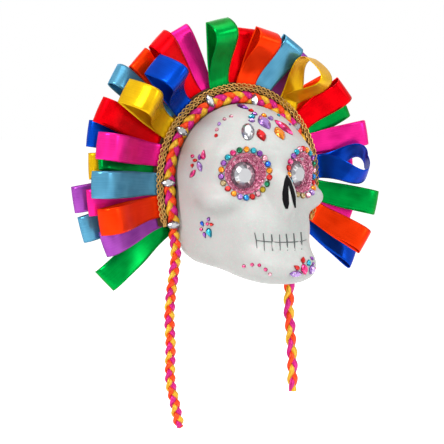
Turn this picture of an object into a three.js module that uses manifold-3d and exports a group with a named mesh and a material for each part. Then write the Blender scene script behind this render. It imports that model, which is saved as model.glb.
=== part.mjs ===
// Decorated wall skull with a ribbon headdress, in millimetres.
// The wall is the plane y = 0, the face looks towards -y, +z is up and x = 0 is the middle of the face.
// The origin is the middle of the back board's rear face, level with the centre of the headdress arch.

import * as THREE from 'three';
import { mergeVertices } from 'three/addons/utils/BufferGeometryUtils.js';
import Module from 'manifold-3d';

const wasm = await Module();
wasm.setup();

// Sizes of the skull
const skullHalfWidth = 74;
const skullDepth = 104;
const skullHeight = 171;
const shellWall = 3.5;
const shellRimLength = 8.7;
const rimInset = 2;

// Sizes of the back board and its hanger
const boardThickness = 5;
const boardBeyondShell = 13;
const boardInsideJaw = 1.5;
const hangerLength = 44;
const hangerHeight = 10;
const hangerThickness = 1;
const hangerRise = 38;
const hangerToothDepth = 2;
const hangerToothCount = 8;
const hangerToothedShare = 0.55;
const hangerHolePitch = 36;
const pocketRoom = 2;
const pocketRoomBelow = 9;
const nailShankRadius = 0.9;
const nailHeadRadius = 2.2;
const nailHeadHeight = 0.8;
const nailGrip = 1.6;
const nailClearance = 0.3;

// Sizes of the headdress
const loopReach = 90;
const archLowerStretch = 42;
const bandThickness = 1.5;
const bandBeyondSkull = 2.7;
const braidWidth = 10;
const braidThickness = 6;
const braidCornerShare = 0.3;
const trimWidth = 8;
const trimThickness = 3.6;
const trimEdgeShare = 0.6;
const braidToTrim = 0.8;
const archEndDrop = 45.5;

// Sizes of one ribbon loop
const ribbonWidth = 25;
const ribbonRootWidth = 15;
const ribbonThickness = 0.5;
const ribbonLap = 5.6;
const gripBeyondTrim = 3;
const backOpening = 6;
const middleOpening = 8;
const frontOpening = 15;
const wideOpening = 30;
const middleLiftDeg = 11;
const frontLiftDeg = 20;
const wideLiftDeg = 23;
const loopRisePower = 2;
const loopFallPower = 3;
const fullWidthShare = 0.5;
const fullTwistShare = 0.9;

// Sizes of the eyes and the stones
const eyeHalfSpacing = 31;
const eyeForward = 59;
const eyeHeight = 7;
const eyeYawDeg = 14;
const orbitPadRadius = 28;
const orbitPadDepth = 16;
const socketRadius = 19;
const socketFloorRadius = 14.5;
const socketDepth = 7;
const liningThickness = 0.8;
const gemRadius = 11.8;
const gemHeight = 6.5;
const gemDrop = 1.8;
const ringStoneRadius = 3.1;
const ringStoneHeight = 2.2;
const ringStoneCount = 22;
const ringRadius = 22.7;
const ringStoneLift = 0.95;
const ringBeadWidth = 2.4;
const ringBeadHeight = 0.5;
const petalStoneHeight = 3;
const marquisePower = 0.6;

// Cut of a stone from its foot to its table, as shares of its half width and its height.
const stoneCutShares = [[1, 0], [1, 0.25], [0.62, 0.85]];

// Size of the hanging braids
const tailDiameter = 9.5;

// Clearance between pieces that are glued or laid against each other
const seat = 0.3;

// Counts of steps
const shellRingCount = 22;
const shellColumnCount = 44;
const hollowRingCount = 14;
const hollowColumnCount = 28;
const archStepCount = 44;
const loopStepCount = 8;
const tubeSideCount = 10;
const socketSideCount = 24;
const gemSideCount = 16;
const petalSideCount = 12;
const plyCornerCount = 4;
const ringStoneSideCount = 6;
const halvingCount = 34;

const degrees = Math.PI / 180;
const shellRimY = -(boardThickness + seat);
const facePlaneY = shellRimY - shellRimLength;

// Solids that blend into the skull. Each row is a centre, its radii and the height it blends over, as
// shares: x of the half width, forward of the depth and z of the height. Two sides make a mirrored pair.
const skullBlobShares = [
  { centre: [0, 0, 0.023], radii: [1, 0.635, 0.409] },
  { centre: [0, 0.327, 0.14], radii: [0.662, 0.346, 0.14], blend: 0.07 },
  { centre: [0.568, 0.356, -0.105], radii: [0.351, 0.26, 0.088], blend: 0.058, sides: [-1, 1] },
  { centre: [0, 0.519, -0.058], radii: [0.189, 0.423, 0.158], tiltDeg: 20, blend: 0.058 },
  { centre: [0, 0.404, -0.304], radii: [0.568, 0.365, 0.175], power: 2.4, blend: 0.058 },
  { centre: [0, 0, -0.257], radii: [0.953, 0.769, 0.251], power: 3.2, tiltDeg: 8,
    taper: 0.48, blend: 0.07 },
  { centre: [0, 0.615, -0.468], radii: [0.486, 0.375, 0.105], power: 2.4, tiltDeg: 4, blend: 0.105 },
];
const orbitBlendShare = 0.047;
const orbitPower = 2.6;
const skullCoreShares = [0, 0.192, -0.047];
const normalStepShare = 0.005;

// Ribbon loops from the lower left round to the lower right. The root angle is on the arch, and the tip is
// given by its angle and its share of the reach beyond the arch. Where a row gives them, the opening share
// widens or narrows the loop against its layer, the rise power lets it open sooner or later along its
// length, and twist turns it about its length.
const loopRows = [
  { name: 'green_1', layer: 'back', rootDeg: 208, tipDeg: 213, reachShare: 1.04, twistDeg: 25 },
  { name: 'purple_1', layer: 'middle', rootDeg: 202, tipDeg: 201, reachShare: 0.99 },
  { name: 'orange_1', layer: 'front', rootDeg: 196, tipDeg: 192.5, reachShare: 1.09 },
  { name: 'sky_1', layer: 'back', rootDeg: 195, tipDeg: 195, reachShare: 1.12 },
  { name: 'magenta_1', layer: 'middle', rootDeg: 187, tipDeg: 186.5, reachShare: 1.09, openShare: 0.8 },
  { name: 'sky_2', layer: 'front', rootDeg: 182.5, tipDeg: 180.5, reachShare: 1.15, openShare: 0.9 },
  { name: 'purple_2', layer: 'back', rootDeg: 182, tipDeg: 185.5, reachShare: 1.16 },
  { name: 'green_2', layer: 'middle', rootDeg: 172, tipDeg: 171.5, reachShare: 0.96,
    openShare: 0.7, twistDeg: 16 },
  { name: 'yellow_1', layer: 'back', rootDeg: 169, tipDeg: 175, reachShare: 0.98 },
  { name: 'magenta_2', layer: 'front', rootDeg: 165, tipDeg: 168.5, reachShare: 1.12 },
  { name: 'royal_1', layer: 'back', rootDeg: 156.5, tipDeg: 164.5, reachShare: 1.05 },
  { name: 'red_1', layer: 'middle', rootDeg: 155, tipDeg: 157, reachShare: 1.11,
    openShare: 1.2, twistDeg: -8 },
  { name: 'yellow_2', layer: 'wide', rootDeg: 148, tipDeg: 149, reachShare: 1.06 },
  { name: 'sky_3', layer: 'back', rootDeg: 144, tipDeg: 143.5, reachShare: 1.06,
    openShare: 1.6, twistDeg: 20 },
  { name: 'royal_2', layer: 'wide', rootDeg: 132, tipDeg: 135, reachShare: 0.95 },
  { name: 'orange_2', layer: 'back', rootDeg: 130, tipDeg: 133.5, reachShare: 0.97 },
  { name: 'red_2', layer: 'middle', rootDeg: 121, tipDeg: 126, reachShare: 1.04,
    openShare: 1.25, twistDeg: 10 },
  { name: 'magenta_3', layer: 'back', rootDeg: 112, tipDeg: 115.5, reachShare: 0.96 },
  { name: 'green_3', layer: 'front', rootDeg: 104, tipDeg: 104, reachShare: 0.98, openShare: 1.2 },
  { name: 'lilac_1', layer: 'back', rootDeg: 96, tipDeg: 92, reachShare: 0.73 },
  { name: 'red_3', layer: 'middle', rootDeg: 93, tipDeg: 90, reachShare: 0.84, openShare: 0.8 },
  { name: 'orange_3', layer: 'front', rootDeg: 86, tipDeg: 82, reachShare: 0.86 },
  { name: 'sky_4', layer: 'middle', rootDeg: 75.5, tipDeg: 67, reachShare: 0.85, openShare: 1.2 },
  { name: 'purple_3', layer: 'back', rootDeg: 65, tipDeg: 61, reachShare: 0.84 },
  { name: 'orange_4', layer: 'back', rootDeg: 53, tipDeg: 41, reachShare: 0.76 },
  { name: 'yellow_3', layer: 'wide', rootDeg: 51, tipDeg: 59.5, reachShare: 0.78,
    openShare: 1.15, twistDeg: 32, risePower: 1.1 },
  { name: 'red_4', layer: 'front', rootDeg: 37, tipDeg: 39, reachShare: 0.85, openShare: 0.8 },
  { name: 'green_4', layer: 'back', rootDeg: 30, tipDeg: 29.5, reachShare: 0.86 },
  { name: 'magenta_4', layer: 'middle', rootDeg: 22, tipDeg: 17, reachShare: 0.93, openShare: 1.4 },
  { name: 'royal_3', layer: 'wide', rootDeg: 6, tipDeg: 6, reachShare: 0.82,
    openShare: 1.1, twistDeg: 55, risePower: 0.8 },
  { name: 'magenta_5', layer: 'back', rootDeg: 9, tipDeg: 7.5, reachShare: 0.75 },
  { name: 'green_5', layer: 'middle', rootDeg: -8, tipDeg: -10.5, reachShare: 1.02, openShare: 1.4 },
  { name: 'magenta_6', layer: 'back', rootDeg: -10, tipDeg: -15.5, reachShare: 0.79, openShare: 0.8 },
  { name: 'orange_5', layer: 'front', rootDeg: -21, tipDeg: -27, reachShare: 0.91, openShare: 0.8 },
  { name: 'royal_4', layer: 'back', rootDeg: -26, tipDeg: -32, reachShare: 0.98, twistDeg: -20 },
];

// Forehead stones: place as shares of the half width and height, half sizes as shares of the ring stone.
const foreheadStoneShares = [
  { name: 'forehead_stone_clear', place: [-0.311, 0.274], half: [2.1, 2.7], turnDeg: 5, point: 0 },
  { name: 'forehead_stone_lilac', place: [-0.015, 0.322], half: [1.45, 2.7], turnDeg: 18, point: 1 },
  { name: 'forehead_stone_red', place: [-0.17, 0.253], half: [1.3, 2.2], turnDeg: 8, point: 1 },
  { name: 'forehead_stone_amber', place: [0.118, 0.26], half: [1.4, 2.4], turnDeg: 15, point: 1 },
  { name: 'forehead_stone_pink', place: [0.269, 0.293], half: [1.55, 3.7], turnDeg: 48, point: 1 },
];

// Routes of the two hanging braids, chosen by hand, in millimetres.
const rightTailRoute = [
  [-75.6, -13.3, -45.8], [-75.6, -13.7, -55], [-75.8, -17.2, -65], [-76, -17.8, -76],
  [-76.6, -15.8, -87], [-77.4, -14.6, -98], [-79.2, -14.4, -109], [-80.6, -14.4, -121],
  [-81.4, -14.5, -134], [-81, -14.6, -147], [-80.2, -14.6, -160], [-80.5, -14.5, -173],
  [-80.8, -14.4, -186], [-80.4, -14.4, -199], [-77.8, -14.5, -211], [-75.4, -14.6, -222],
  [-73.2, -14.7, -233], [-70.4, -14.8, -244],
];
const leftTailRoute = [
  [75.6, -13.3, -45.8], [75.5, -13.4, -55], [74.8, -13.5, -65], [72.8, -13.5, -75],
  [69.2, -13.4, -85], [64.6, -13.3, -94], [60.8, -13.2, -103], [58.8, -13.1, -113],
  [58.7, -13, -124], [58, -13, -134], [59, -13, -144], [60.2, -13, -154],
  [60.9, -13, -165], [61.9, -13, -176], [63, -13, -187], [63.2, -13, -198],
  [63.3, -13, -210], [63.3, -13, -223],
];

const finishes = {
  plaster: { color: 0xc6c8c4, roughness: 0.6, metalness: 0 },
  board: { color: 0xb48a5a, roughness: 0.85, metalness: 0 },
  steel: { color: 0xb9bcc0, roughness: 0.35, metalness: 1 },
  felt: { color: 0xd9d4c8, roughness: 0.95, metalness: 0 },
  gold: { color: 0xa06c28, roughness: 0.45, metalness: 0.6 },
  glitter: { color: 0xd87a9b, roughness: 0.5, metalness: 0.2 },
  clear: { color: 0xdfe4e8, roughness: 0.05, metalness: 0.3 },
  green: { color: 0x01863a, roughness: 0.35, metalness: 0 },
  orange: { color: 0xf04a10, roughness: 0.35, metalness: 0 },
  red: { color: 0xdd0818, roughness: 0.35, metalness: 0 },
  magenta: { color: 0xe0248c, roughness: 0.35, metalness: 0 },
  purple: { color: 0xa04ab4, roughness: 0.35, metalness: 0 },
  lilac: { color: 0xb78ad6, roughness: 0.35, metalness: 0 },
  sky: { color: 0x5f9dc0, roughness: 0.35, metalness: 0 },
  royal: { color: 0x0a44b0, roughness: 0.35, metalness: 0 },
  yellow: { color: 0xe0b01c, roughness: 0.35, metalness: 0 },
  amber: { color: 0xf08a10, roughness: 0.1, metalness: 0.1 },
  pink: { color: 0xe0246c, roughness: 0.1, metalness: 0.1 },
  jewels: { color: 0x3aa6a0, roughness: 0.1, metalness: 0.1 },
  braid: { color: 0xe04a30, roughness: 0.45, metalness: 0 },
};

const part = new THREE.Group();

// Adds a mesh of one finish to the part.
function addPiece(name, geometry, finish) {
  const piece = new THREE.Mesh(geometry, new THREE.MeshStandardMaterial(finishes[finish]));
  piece.name = name;
  part.add(piece);
  return piece;
}

// Makes a geometry from points and triangles.
function geometryOf(points, triangles) {
  const geometry = new THREE.BufferGeometry();
  const positions = points.flatMap((p) => [p.x, p.y, p.z]);
  geometry.setAttribute('position', new THREE.Float32BufferAttribute(positions, 3));
  geometry.setIndex(triangles.flat());
  return geometry;
}

// Strips a closed geometry to merged positions and turns it into a solid.
function solidOf(geometry) {
  const plain = geometry.clone();
  plain.deleteAttribute('normal');
  plain.deleteAttribute('uv');
  const merged = mergeVertices(plain);
  const mesh = new wasm.Mesh({
    numProp: 3,
    vertProperties: new Float32Array(merged.attributes.position.array),
    triVerts: new Uint32Array(merged.index.array),
  });
  return new wasm.Manifold(mesh);
}

// Turns a solid back into a geometry.
function geometryOfSolid(solid) {
  const mesh = solid.getMesh();
  const geometry = new THREE.BufferGeometry();
  geometry.setAttribute('position', new THREE.BufferAttribute(new Float32Array(mesh.vertProperties), 3));
  geometry.setIndex(new THREE.BufferAttribute(new Uint32Array(mesh.triVerts), 1));
  return geometry;
}

// Joins rows of points, all of one length, into a grid of triangles whose columns wrap round. In the
// column named last, the quads are split along their other diagonal.
function wrappedGrid(rows, columns, firstIndex, flip, otherSplitColumn = -1) {
  const triangles = [];
  for (let i = 0; i < rows - 1; i++) {
    for (let j = 0; j < columns; j++) {
      const a = firstIndex + i * columns + j;
      const b = firstIndex + i * columns + ((j + 1) % columns);
      const c = a + columns;
      const d = b + columns;
      const pair = j === otherSplitColumn ? [[a, b, d], [a, d, c]] : [[a, b, c], [b, d, c]];
      triangles.push(...(flip ? flipped(pair) : pair));
    }
  }
  return triangles;
}

// Closes a ring of points that starts at an index with a fan of triangles.
function fan(firstIndex, columns, centreIndex, flip) {
  const triangles = [];
  for (let j = 0; j < columns; j++) {
    const a = firstIndex + j;
    const b = firstIndex + ((j + 1) % columns);
    triangles.push(flip ? [a, centreIndex, b] : [a, b, centreIndex]);
  }
  return triangles;
}

// Smooth step from 0 to 1.
function smooth(t) {
  const clamped = Math.min(Math.max(t, 0), 1);
  return clamped * clamped * (3 - 2 * clamped);
}

// Centre and outward axis of an eye socket, for side -1 or 1, in x, forward and z.
function eyeFrame(side) {
  const yaw = eyeYawDeg * degrees;
  return {
    centre: new THREE.Vector3(side * eyeHalfSpacing, eyeForward, eyeHeight),
    axis: new THREE.Vector3(side * Math.sin(yaw), Math.cos(yaw), 0),
    across: new THREE.Vector3(Math.cos(yaw), -side * Math.sin(yaw), 0),
    up: new THREE.Vector3(0, 0, 1),
  };
}

// The skull's blended solids in real sizes, with a pad behind each eye socket.
function skullBlobs() {
  const blobs = [];
  for (const row of skullBlobShares) {
    const { centre, radii, power = 2, tiltDeg = 0, taper = 0, blend = 0, sides = [1] } = row;
    for (const side of sides) {
      blobs.push({
        centre: new THREE.Vector3(
          side * centre[0] * skullHalfWidth,
          centre[1] * skullDepth,
          centre[2] * skullHeight,
        ),
        radii: [radii[0] * skullHalfWidth, radii[1] * skullDepth, radii[2] * skullHeight],
        power,
        tilt: tiltDeg * degrees,
        yaw: 0,
        taper,
        blend: blend * skullHeight,
      });
    }
  }
  for (const side of [-1, 1]) {
    const eye = eyeFrame(side);
    blobs.push({
      centre: eye.centre.clone().addScaledVector(eye.axis, -orbitPadDepth),
      radii: [orbitPadRadius, orbitPadDepth, orbitPadRadius],
      power: orbitPower,
      tilt: 0,
      yaw: side * eyeYawDeg * degrees,
      taper: 0,
      blend: orbitBlendShare * skullHeight,
    });
  }
  return blobs;
}

const blobs = skullBlobs();

// Signed size of the skull's blended solids at a place given by x, forward and z, negative inside.
function skullField(x, forward, z) {
  let total = null;
  for (const blob of blobs) {
    const dx = x - blob.centre.x;
    const df = forward - blob.centre.y;
    const dz = z - blob.centre.z;
    const turnedX = dx * Math.cos(blob.yaw) - df * Math.sin(blob.yaw);
    const turnedF = dx * Math.sin(blob.yaw) + df * Math.cos(blob.yaw);
    const f = turnedF * Math.cos(blob.tilt) - dz * Math.sin(blob.tilt);
    const h = turnedF * Math.sin(blob.tilt) + dz * Math.cos(blob.tilt);
    const along = Math.min(Math.max(f / blob.radii[1], -1), 1);
    const across = turnedX / (1 - blob.taper * along);
    const sum = Math.abs(across / blob.radii[0]) ** blob.power
      + Math.abs(f / blob.radii[1]) ** blob.power
      + Math.abs(h / blob.radii[2]) ** blob.power;
    const sorted = [...blob.radii].sort((p, q) => p - q);
    const distance = (sum ** (1 / blob.power) - 1) * (sorted[0] + sorted[1]) / 2;
    if (total === null) {
      total = distance;
    } else {
      const mix = Math.min(Math.max(0.5 + (total - distance) / (2 * blob.blend), 0), 1);
      total = total * (1 - mix) + distance * mix - blob.blend * mix * (1 - mix);
    }
  }
  return total;
}

const skullCore = new THREE.Vector3(
  skullCoreShares[0] * skullHalfWidth,
  skullCoreShares[1] * skullDepth,
  skullCoreShares[2] * skullHeight,
);

// Point of the skull along a ray from its core, in x, forward and z, at a depth below its surface.
function skullAlong(angle, rise, depth) {
  const direction = new THREE.Vector3(
    Math.cos(rise) * Math.cos(angle),
    Math.sin(rise),
    Math.cos(rise) * Math.sin(angle),
  );
  let near = 0;
  let far = 2 * skullHeight;
  for (let i = 0; i < halvingCount; i++) {
    const middle = (near + far) / 2;
    const p = skullCore.clone().addScaledVector(direction, middle);
    if (skullField(p.x, p.y, p.z) < -depth) {
      near = middle;
    } else {
      far = middle;
    }
  }
  return skullCore.clone().addScaledVector(direction, near);
}

// Rise of the ray that meets the skull, or a depth below it, on the face plane, where forward is 0.
function rimRise(angle, depth) {
  let low = -Math.PI / 2;
  let high = Math.PI / 4;
  for (let i = 0; i < halvingCount; i++) {
    const middle = (low + high) / 2;
    if (skullAlong(angle, middle, depth).y < 0) {
      low = middle;
    } else {
      high = middle;
    }
  }
  return high;
}

// Height of the bare skull over an eye's plane at a place in that plane, before the socket is pressed in.
function skullOverEye(eye, u, v) {
  const foot = eye.centre.clone().addScaledVector(eye.across, u).addScaledVector(eye.up, v);
  let low = -2 * socketRadius;
  let high = 2 * socketRadius;
  for (let i = 0; i < halvingCount; i++) {
    const middle = (low + high) / 2;
    const p = foot.clone().addScaledVector(eye.axis, middle);
    if (skullField(p.x, p.y, p.z) < 0) {
      low = middle;
    } else {
      high = middle;
    }
  }
  return low;
}

// Point of the skull in front of a place x, z, in x, forward and z, with its outward normal.
function skullInFront(x, z) {
  let low = 0;
  let high = 2 * skullDepth;
  for (let i = 0; i < halvingCount; i++) {
    const middle = (low + high) / 2;
    if (skullField(x, middle, z) < 0) {
      low = middle;
    } else {
      high = middle;
    }
  }
  return { point: new THREE.Vector3(x, low, z), normal: skullNormal(x, low, z) };
}

// Outward normal of the skull's bare surface.
function skullNormal(x, forward, z) {
  const step = skullHalfWidth * normalStepShare;
  return new THREE.Vector3(
    skullField(x + step, forward, z) - skullField(x - step, forward, z),
    skullField(x, forward + step, z) - skullField(x, forward - step, z),
    skullField(x, forward, z + step) - skullField(x, forward, z - step),
  ).normalize();
}

// Turns x, forward and z into the part's own axes.
function place(point) {
  return new THREE.Vector3(point.x, facePlaneY - point.y, point.z);
}

// Rings of the skull's skin, or of a skin at a depth below it, from the rim plane to near the front pole.
function skullSkin(ringCount, columnCount, depth) {
  const rings = [];
  for (let i = 0; i < ringCount; i++) {
    rings.push([]);
  }
  for (let j = 0; j < columnCount; j++) {
    const angle = 2 * Math.PI * j / columnCount;
    const lowest = rimRise(angle, depth);
    for (let i = 0; i < ringCount; i++) {
      rings[i].push(skullAlong(angle, lowest + (Math.PI / 2 - lowest) * i / ringCount, depth));
    }
  }
  return rings;
}

// A closed solid from the rings of a skin, with a flat back and a pole at the front.
function skinSolid(rings, pole) {
  const columns = rings[0].length;
  const points = [...rings.flat(), pole, new THREE.Vector3(0, rings[0][0].y, skullCore.z)].map(place);
  const triangles = [
    ...wrappedGrid(rings.length, columns, 0, false),
    ...fan((rings.length - 1) * columns, columns, points.length - 2, false),
    ...fan(0, columns, points.length - 1, true),
  ];
  return solidOf(geometryOf(points, triangles));
}

// Round dish along an eye's axis, grown all over by a clearance or a wall.
function socketDish(side, growth) {
  const eye = eyeFrame(side);
  const profile = [
    [0, -socketDepth - growth],
    [socketFloorRadius + growth / 2, -socketDepth - growth],
    [socketRadius + growth, 0],
    [socketRadius + growth + socketDepth / 4, 2 * socketDepth],
    [0, 2 * socketDepth],
  ].map(([radius, height]) => new THREE.Vector2(radius, height));
  const dish = new THREE.LatheGeometry(profile, socketSideCount);
  dish.rotateZ(-side * eyeYawDeg * degrees);
  dish.scale(1, -1, 1);
  const middle = place(eye.centre);
  dish.translate(middle.x, middle.y, middle.z);
  return solidOf(turnedInsideOut(dish));
}

// Turns the faces of a mirrored geometry out again.
function turnedInsideOut(geometry) {
  const index = geometry.index;
  for (let i = 0; i < index.count; i += 3) {
    const a = index.getX(i);
    index.setX(i, index.getX(i + 1));
    index.setX(i + 1, a);
  }
  return geometry;
}

// The skull's form, filled, from a skin and the skin's depth below the surface.
function skullForm(skin, depth) {
  const rimRing = skin[0].map((p) => insetPoint(p, rimInset, -shellRimLength));
  return skinSolid([rimRing, ...skin], skullAlong(0, Math.PI / 2, depth));
}

// The hollow skull: its outer form less the sockets, and less a hollow that leaves a wall behind them.
function skullShell(outer, inner) {
  let solid = outer;
  let hollow = inner.add(solidOf(rimOpening()));
  for (const side of [-1, 1]) {
    solid = solid.subtract(socketDish(side, 0));
    hollow = hollow.subtract(socketDish(side, shellWall));
  }
  return geometryOfSolid(solid.subtract(hollow));
}

// A disc that opens the hollow through the back of the shell.
function rimOpening() {
  const radius = skullHalfWidth / 2;
  const disc = new THREE.CylinderGeometry(radius, radius, 2 * shellRimLength, socketSideCount);
  disc.translate(0, shellRimY, skullCore.z);
  return disc;
}

// Moves a rim point towards the middle and along forward.
function insetPoint(point, inset, forward) {
  const length = Math.hypot(point.x, point.z);
  const share = (length - inset) / length;
  return new THREE.Vector3(point.x * share, point.y + forward, point.z * share);
}

// Half width and half height of the headdress arch at an offset outwards, in its upper or lower half.
function archHalves(offset, lower) {
  const top = (skullBlobShares[0].radii[2] + skullBlobShares[0].centre[2]) * skullHeight + offset;
  return [skullHalfWidth + offset, lower ? top + archLowerStretch : top];
}

// Point of the arch at an angle seen from its centre and an offset, at a depth y.
function archPoint(angleDeg, offset, y) {
  const angle = angleDeg * degrees;
  const [side, rise] = archHalves(offset, Math.sin(angle) < 0);
  const radius = 1 / Math.hypot(Math.cos(angle) / side, Math.sin(angle) / rise);
  return new THREE.Vector3(radius * Math.cos(angle), y, radius * Math.sin(angle));
}

// Points along the arch at an offset, from one level end to the other.
function archLine(offset, y) {
  const [side, low] = archHalves(offset, true);
  const high = archHalves(offset, false)[1];
  const end = -Math.asin(archEndDrop / low);
  const line = [];
  for (let i = 0; i <= archStepCount; i++) {
    const turn = end + (Math.PI - 2 * end) * i / archStepCount;
    const rise = Math.sin(turn) < 0 ? low : high;
    line.push(new THREE.Vector3(side * Math.cos(turn), y, rise * Math.sin(turn)));
  }
  return line;
}

// A solid whose section, given as offset and depth pairs, follows the arch.
function archSolid(section) {
  const lines = section.map(([offset, y]) => archLine(offset, y));
  const points = [];
  for (let i = 0; i <= archStepCount; i++) {
    points.push(...lines.map((line) => line[i]));
  }
  const sides = section.length;
  const triangles = wrappedGrid(archStepCount + 1, sides, 0, true);
  for (let k = 1; k < sides - 1; k++) {
    triangles.push([0, k, k + 1]);
    triangles.push([archStepCount * sides, archStepCount * sides + k + 1, archStepCount * sides + k]);
  }
  return geometryOf(points, triangles);
}

const bandInner = bandBeyondSkull;
const braidMiddle = bandInner + braidWidth / 2;
const braidCorner = braidThickness * braidCornerShare;
const trimMiddle = bandInner + braidWidth + braidToTrim + trimWidth / 2;
const bandOuter = trimMiddle + trimWidth / 2;
const rootStack = 2 * ribbonThickness + seat;
const backRootY = -(boardThickness + seat);
const middleRootY = backRootY - rootStack - seat;
const bandBackY = middleRootY - rootStack - seat;
const bandFrontY = bandBackY - bandThickness;
const frontRootY = bandFrontY - seat;
const trimBackY = frontRootY - rootStack - seat;

const underBand = bandInner + ribbonLap;
const underTrim = trimMiddle - trimWidth / 4;
const layers = {
  back: { rootY: backRootY, rootOffset: underBand, liftDeg: 0, opening: backOpening },
  middle: { rootY: middleRootY, rootOffset: underBand, liftDeg: middleLiftDeg, opening: middleOpening },
  front: { rootY: frontRootY, rootOffset: underTrim, liftDeg: frontLiftDeg, opening: frontOpening },
  wide: { rootY: frontRootY, rootOffset: underTrim, liftDeg: wideLiftDeg, opening: wideOpening },
};

// Opening of a loop along its length as a share of the widest, from the root at 0 to the tip at 1.
function loopSwell(share, risePower) {
  const swell = (at) => (at ** risePower) * Math.sqrt(Math.max(1 - at ** loopFallPower, 0));
  const widestAt = (risePower / (risePower + loopFallPower / 2)) ** (1 / loopFallPower);
  return swell(share) / swell(widestAt);
}

// A ribbon loop: one strip that leaves the root, turns over at the tip and comes back to the root.
function ribbonLoop(row) {
  const layer = layers[row.layer];
  const root = archPoint(row.rootDeg, layer.rootOffset, layer.rootY);
  const grip = bandOuter + gripBeyondTrim - layer.rootOffset;
  const lift = layer.liftDeg * degrees;
  const tip = archPoint(row.tipDeg, 0, layer.rootY);
  const tipDistance = Math.hypot(tip.x, tip.z);
  const stretch = (tipDistance + loopReach * row.reachShare) / tipDistance;
  tip.x *= stretch;
  tip.z *= stretch;
  const forward = new THREE.Vector3(0, -1, 0);
  const flat = tip.clone().sub(root);
  const free = flat.length() - grip;
  flat.normalize();
  const across = new THREE.Vector3().crossVectors(flat, forward).normalize();
  const rising = flat.clone().applyAxisAngle(across, lift);
  const facing = forward.clone().applyAxisAngle(across, lift);

  const opening = layer.opening * (row.openShare ?? 1);
  const line = loopLine(grip, free, opening, row.risePower ?? loopRisePower);
  const points = [];
  for (let k = 0; k < line.length; k++) {
    const here = line[k];
    const before = line[Math.max(k - 1, 0)];
    const after = line[Math.min(k + 1, line.length - 1)];
    const run = Math.hypot(after.s - before.s, after.o - before.o);
    const gripped = here.s <= grip;
    const along = gripped ? flat : rising;
    const out = gripped ? forward : facing;
    const centre = root.clone()
      .addScaledVector(flat, Math.min(here.s, grip))
      .addScaledVector(rising, Math.max(here.s - grip, 0))
      .addScaledVector(out, here.half + rootStack / 2);
    const twist = (row.twistDeg ?? 0) * degrees * smooth(here.share / fullTwistShare);
    const outwards = out.clone().multiplyScalar(Math.cos(twist)).addScaledVector(across, Math.sin(twist));
    const widthways = across.clone().multiplyScalar(Math.cos(twist)).addScaledVector(out, -Math.sin(twist));
    const width = ribbonRootWidth + (ribbonWidth - ribbonRootWidth) * smooth(here.share / fullWidthShare);
    for (const [skin, edge] of [[-1, -1], [1, -1], [1, 1], [-1, 1]]) {
      const shift = skin * ribbonThickness / 2 / run;
      points.push(centre.clone()
        .addScaledVector(along, -shift * (after.o - before.o))
        .addScaledVector(outwards, here.o + shift * (after.s - before.s))
        .addScaledVector(widthways, edge * width / 2));
    }
  }
  const triangles = wrappedGrid(line.length, plyCornerCount, 0, false, plyCornerCount - 1);
  const last = plyCornerCount * (line.length - 1);
  triangles.push([0, 2, 1], [0, 3, 2], [last, last + 1, last + 2], [last, last + 2, last + 3]);
  return geometryOf(points, triangles);
}

// Middle line of a loop's strip, as distance along s and offset o from the loop's middle.
function loopLine(grip, free, opening, risePower) {
  const stations = [{ s: 0, share: 0 }];
  for (let k = 0; k <= loopStepCount; k++) {
    const share = Math.sin(Math.PI / 2 * k / loopStepCount);
    stations.push({ s: grip + free * share, share });
  }
  const ply = (station, side) => {
    const half = opening / 2 * loopSwell(station.share, risePower);
    const offset = station.share === 1 ? 0 : side * (half + (ribbonThickness + seat) / 2);
    return { ...station, half, o: offset };
  };
  return [
    ...stations.map((station) => ply(station, -1)),
    ...stations.slice(0, -1).reverse().map((station) => ply(station, 1)),
  ];
}

// The board behind the skull and the arch, with a pocket for the hanger and holes for its two nails.
function backBoard(skin) {
  const outline = new THREE.Shape();
  const points = archLine(boardBeyondShell, 0).map((p) => [p.x, p.z]);
  const jaw = skin[0]
    .map((p) => insetPoint(p, rimInset + boardInsideJaw, 0))
    .filter((p) => p.z < points[0][1] - boardBeyondShell / 2)
    .sort((p, q) => p.x - q.x);
  for (const p of jaw) {
    points.push([p.x, p.z]);
  }
  points.forEach(([x, z], i) => (i === 0 ? outline.moveTo(x, z) : outline.lineTo(x, z)));
  outline.closePath();
  const plate = new THREE.ExtrudeGeometry(outline, { depth: boardThickness, bevelEnabled: false });
  plate.rotateX(Math.PI / 2);
  let solid = solidOf(plate).subtract(solidOf(hangerPocket()));
  for (const side of [-1, 1]) {
    solid = solid.subtract(solidOf(nailHole(side)));
  }
  return geometryOfSolid(solid);
}

const hangerMiddleZ = hangerRise;
const pocketDepth = hangerThickness + nailHeadHeight + 3 * seat;

// Cutter for the pocket in the board's back, with room under the teeth for the wall's own nail.
function hangerPocket() {
  const height = hangerHeight + pocketRoom + pocketRoomBelow;
  const pocket = new THREE.BoxGeometry(hangerLength + 2 * pocketRoom, 2 * pocketDepth, height);
  pocket.translate(0, 0, hangerMiddleZ + hangerHeight / 2 + pocketRoom - height / 2);
  return pocket;
}

// Cutter for one nail hole through the hanger and into the board.
function nailHole(side) {
  const hole = new THREE.CylinderGeometry(
    nailShankRadius + nailClearance,
    nailShankRadius + nailClearance,
    2 * (pocketDepth + nailGrip + nailClearance),
    tubeSideCount,
  );
  hole.translate(side * hangerHolePitch / 2, 0, hangerMiddleZ);
  return hole;
}

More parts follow.
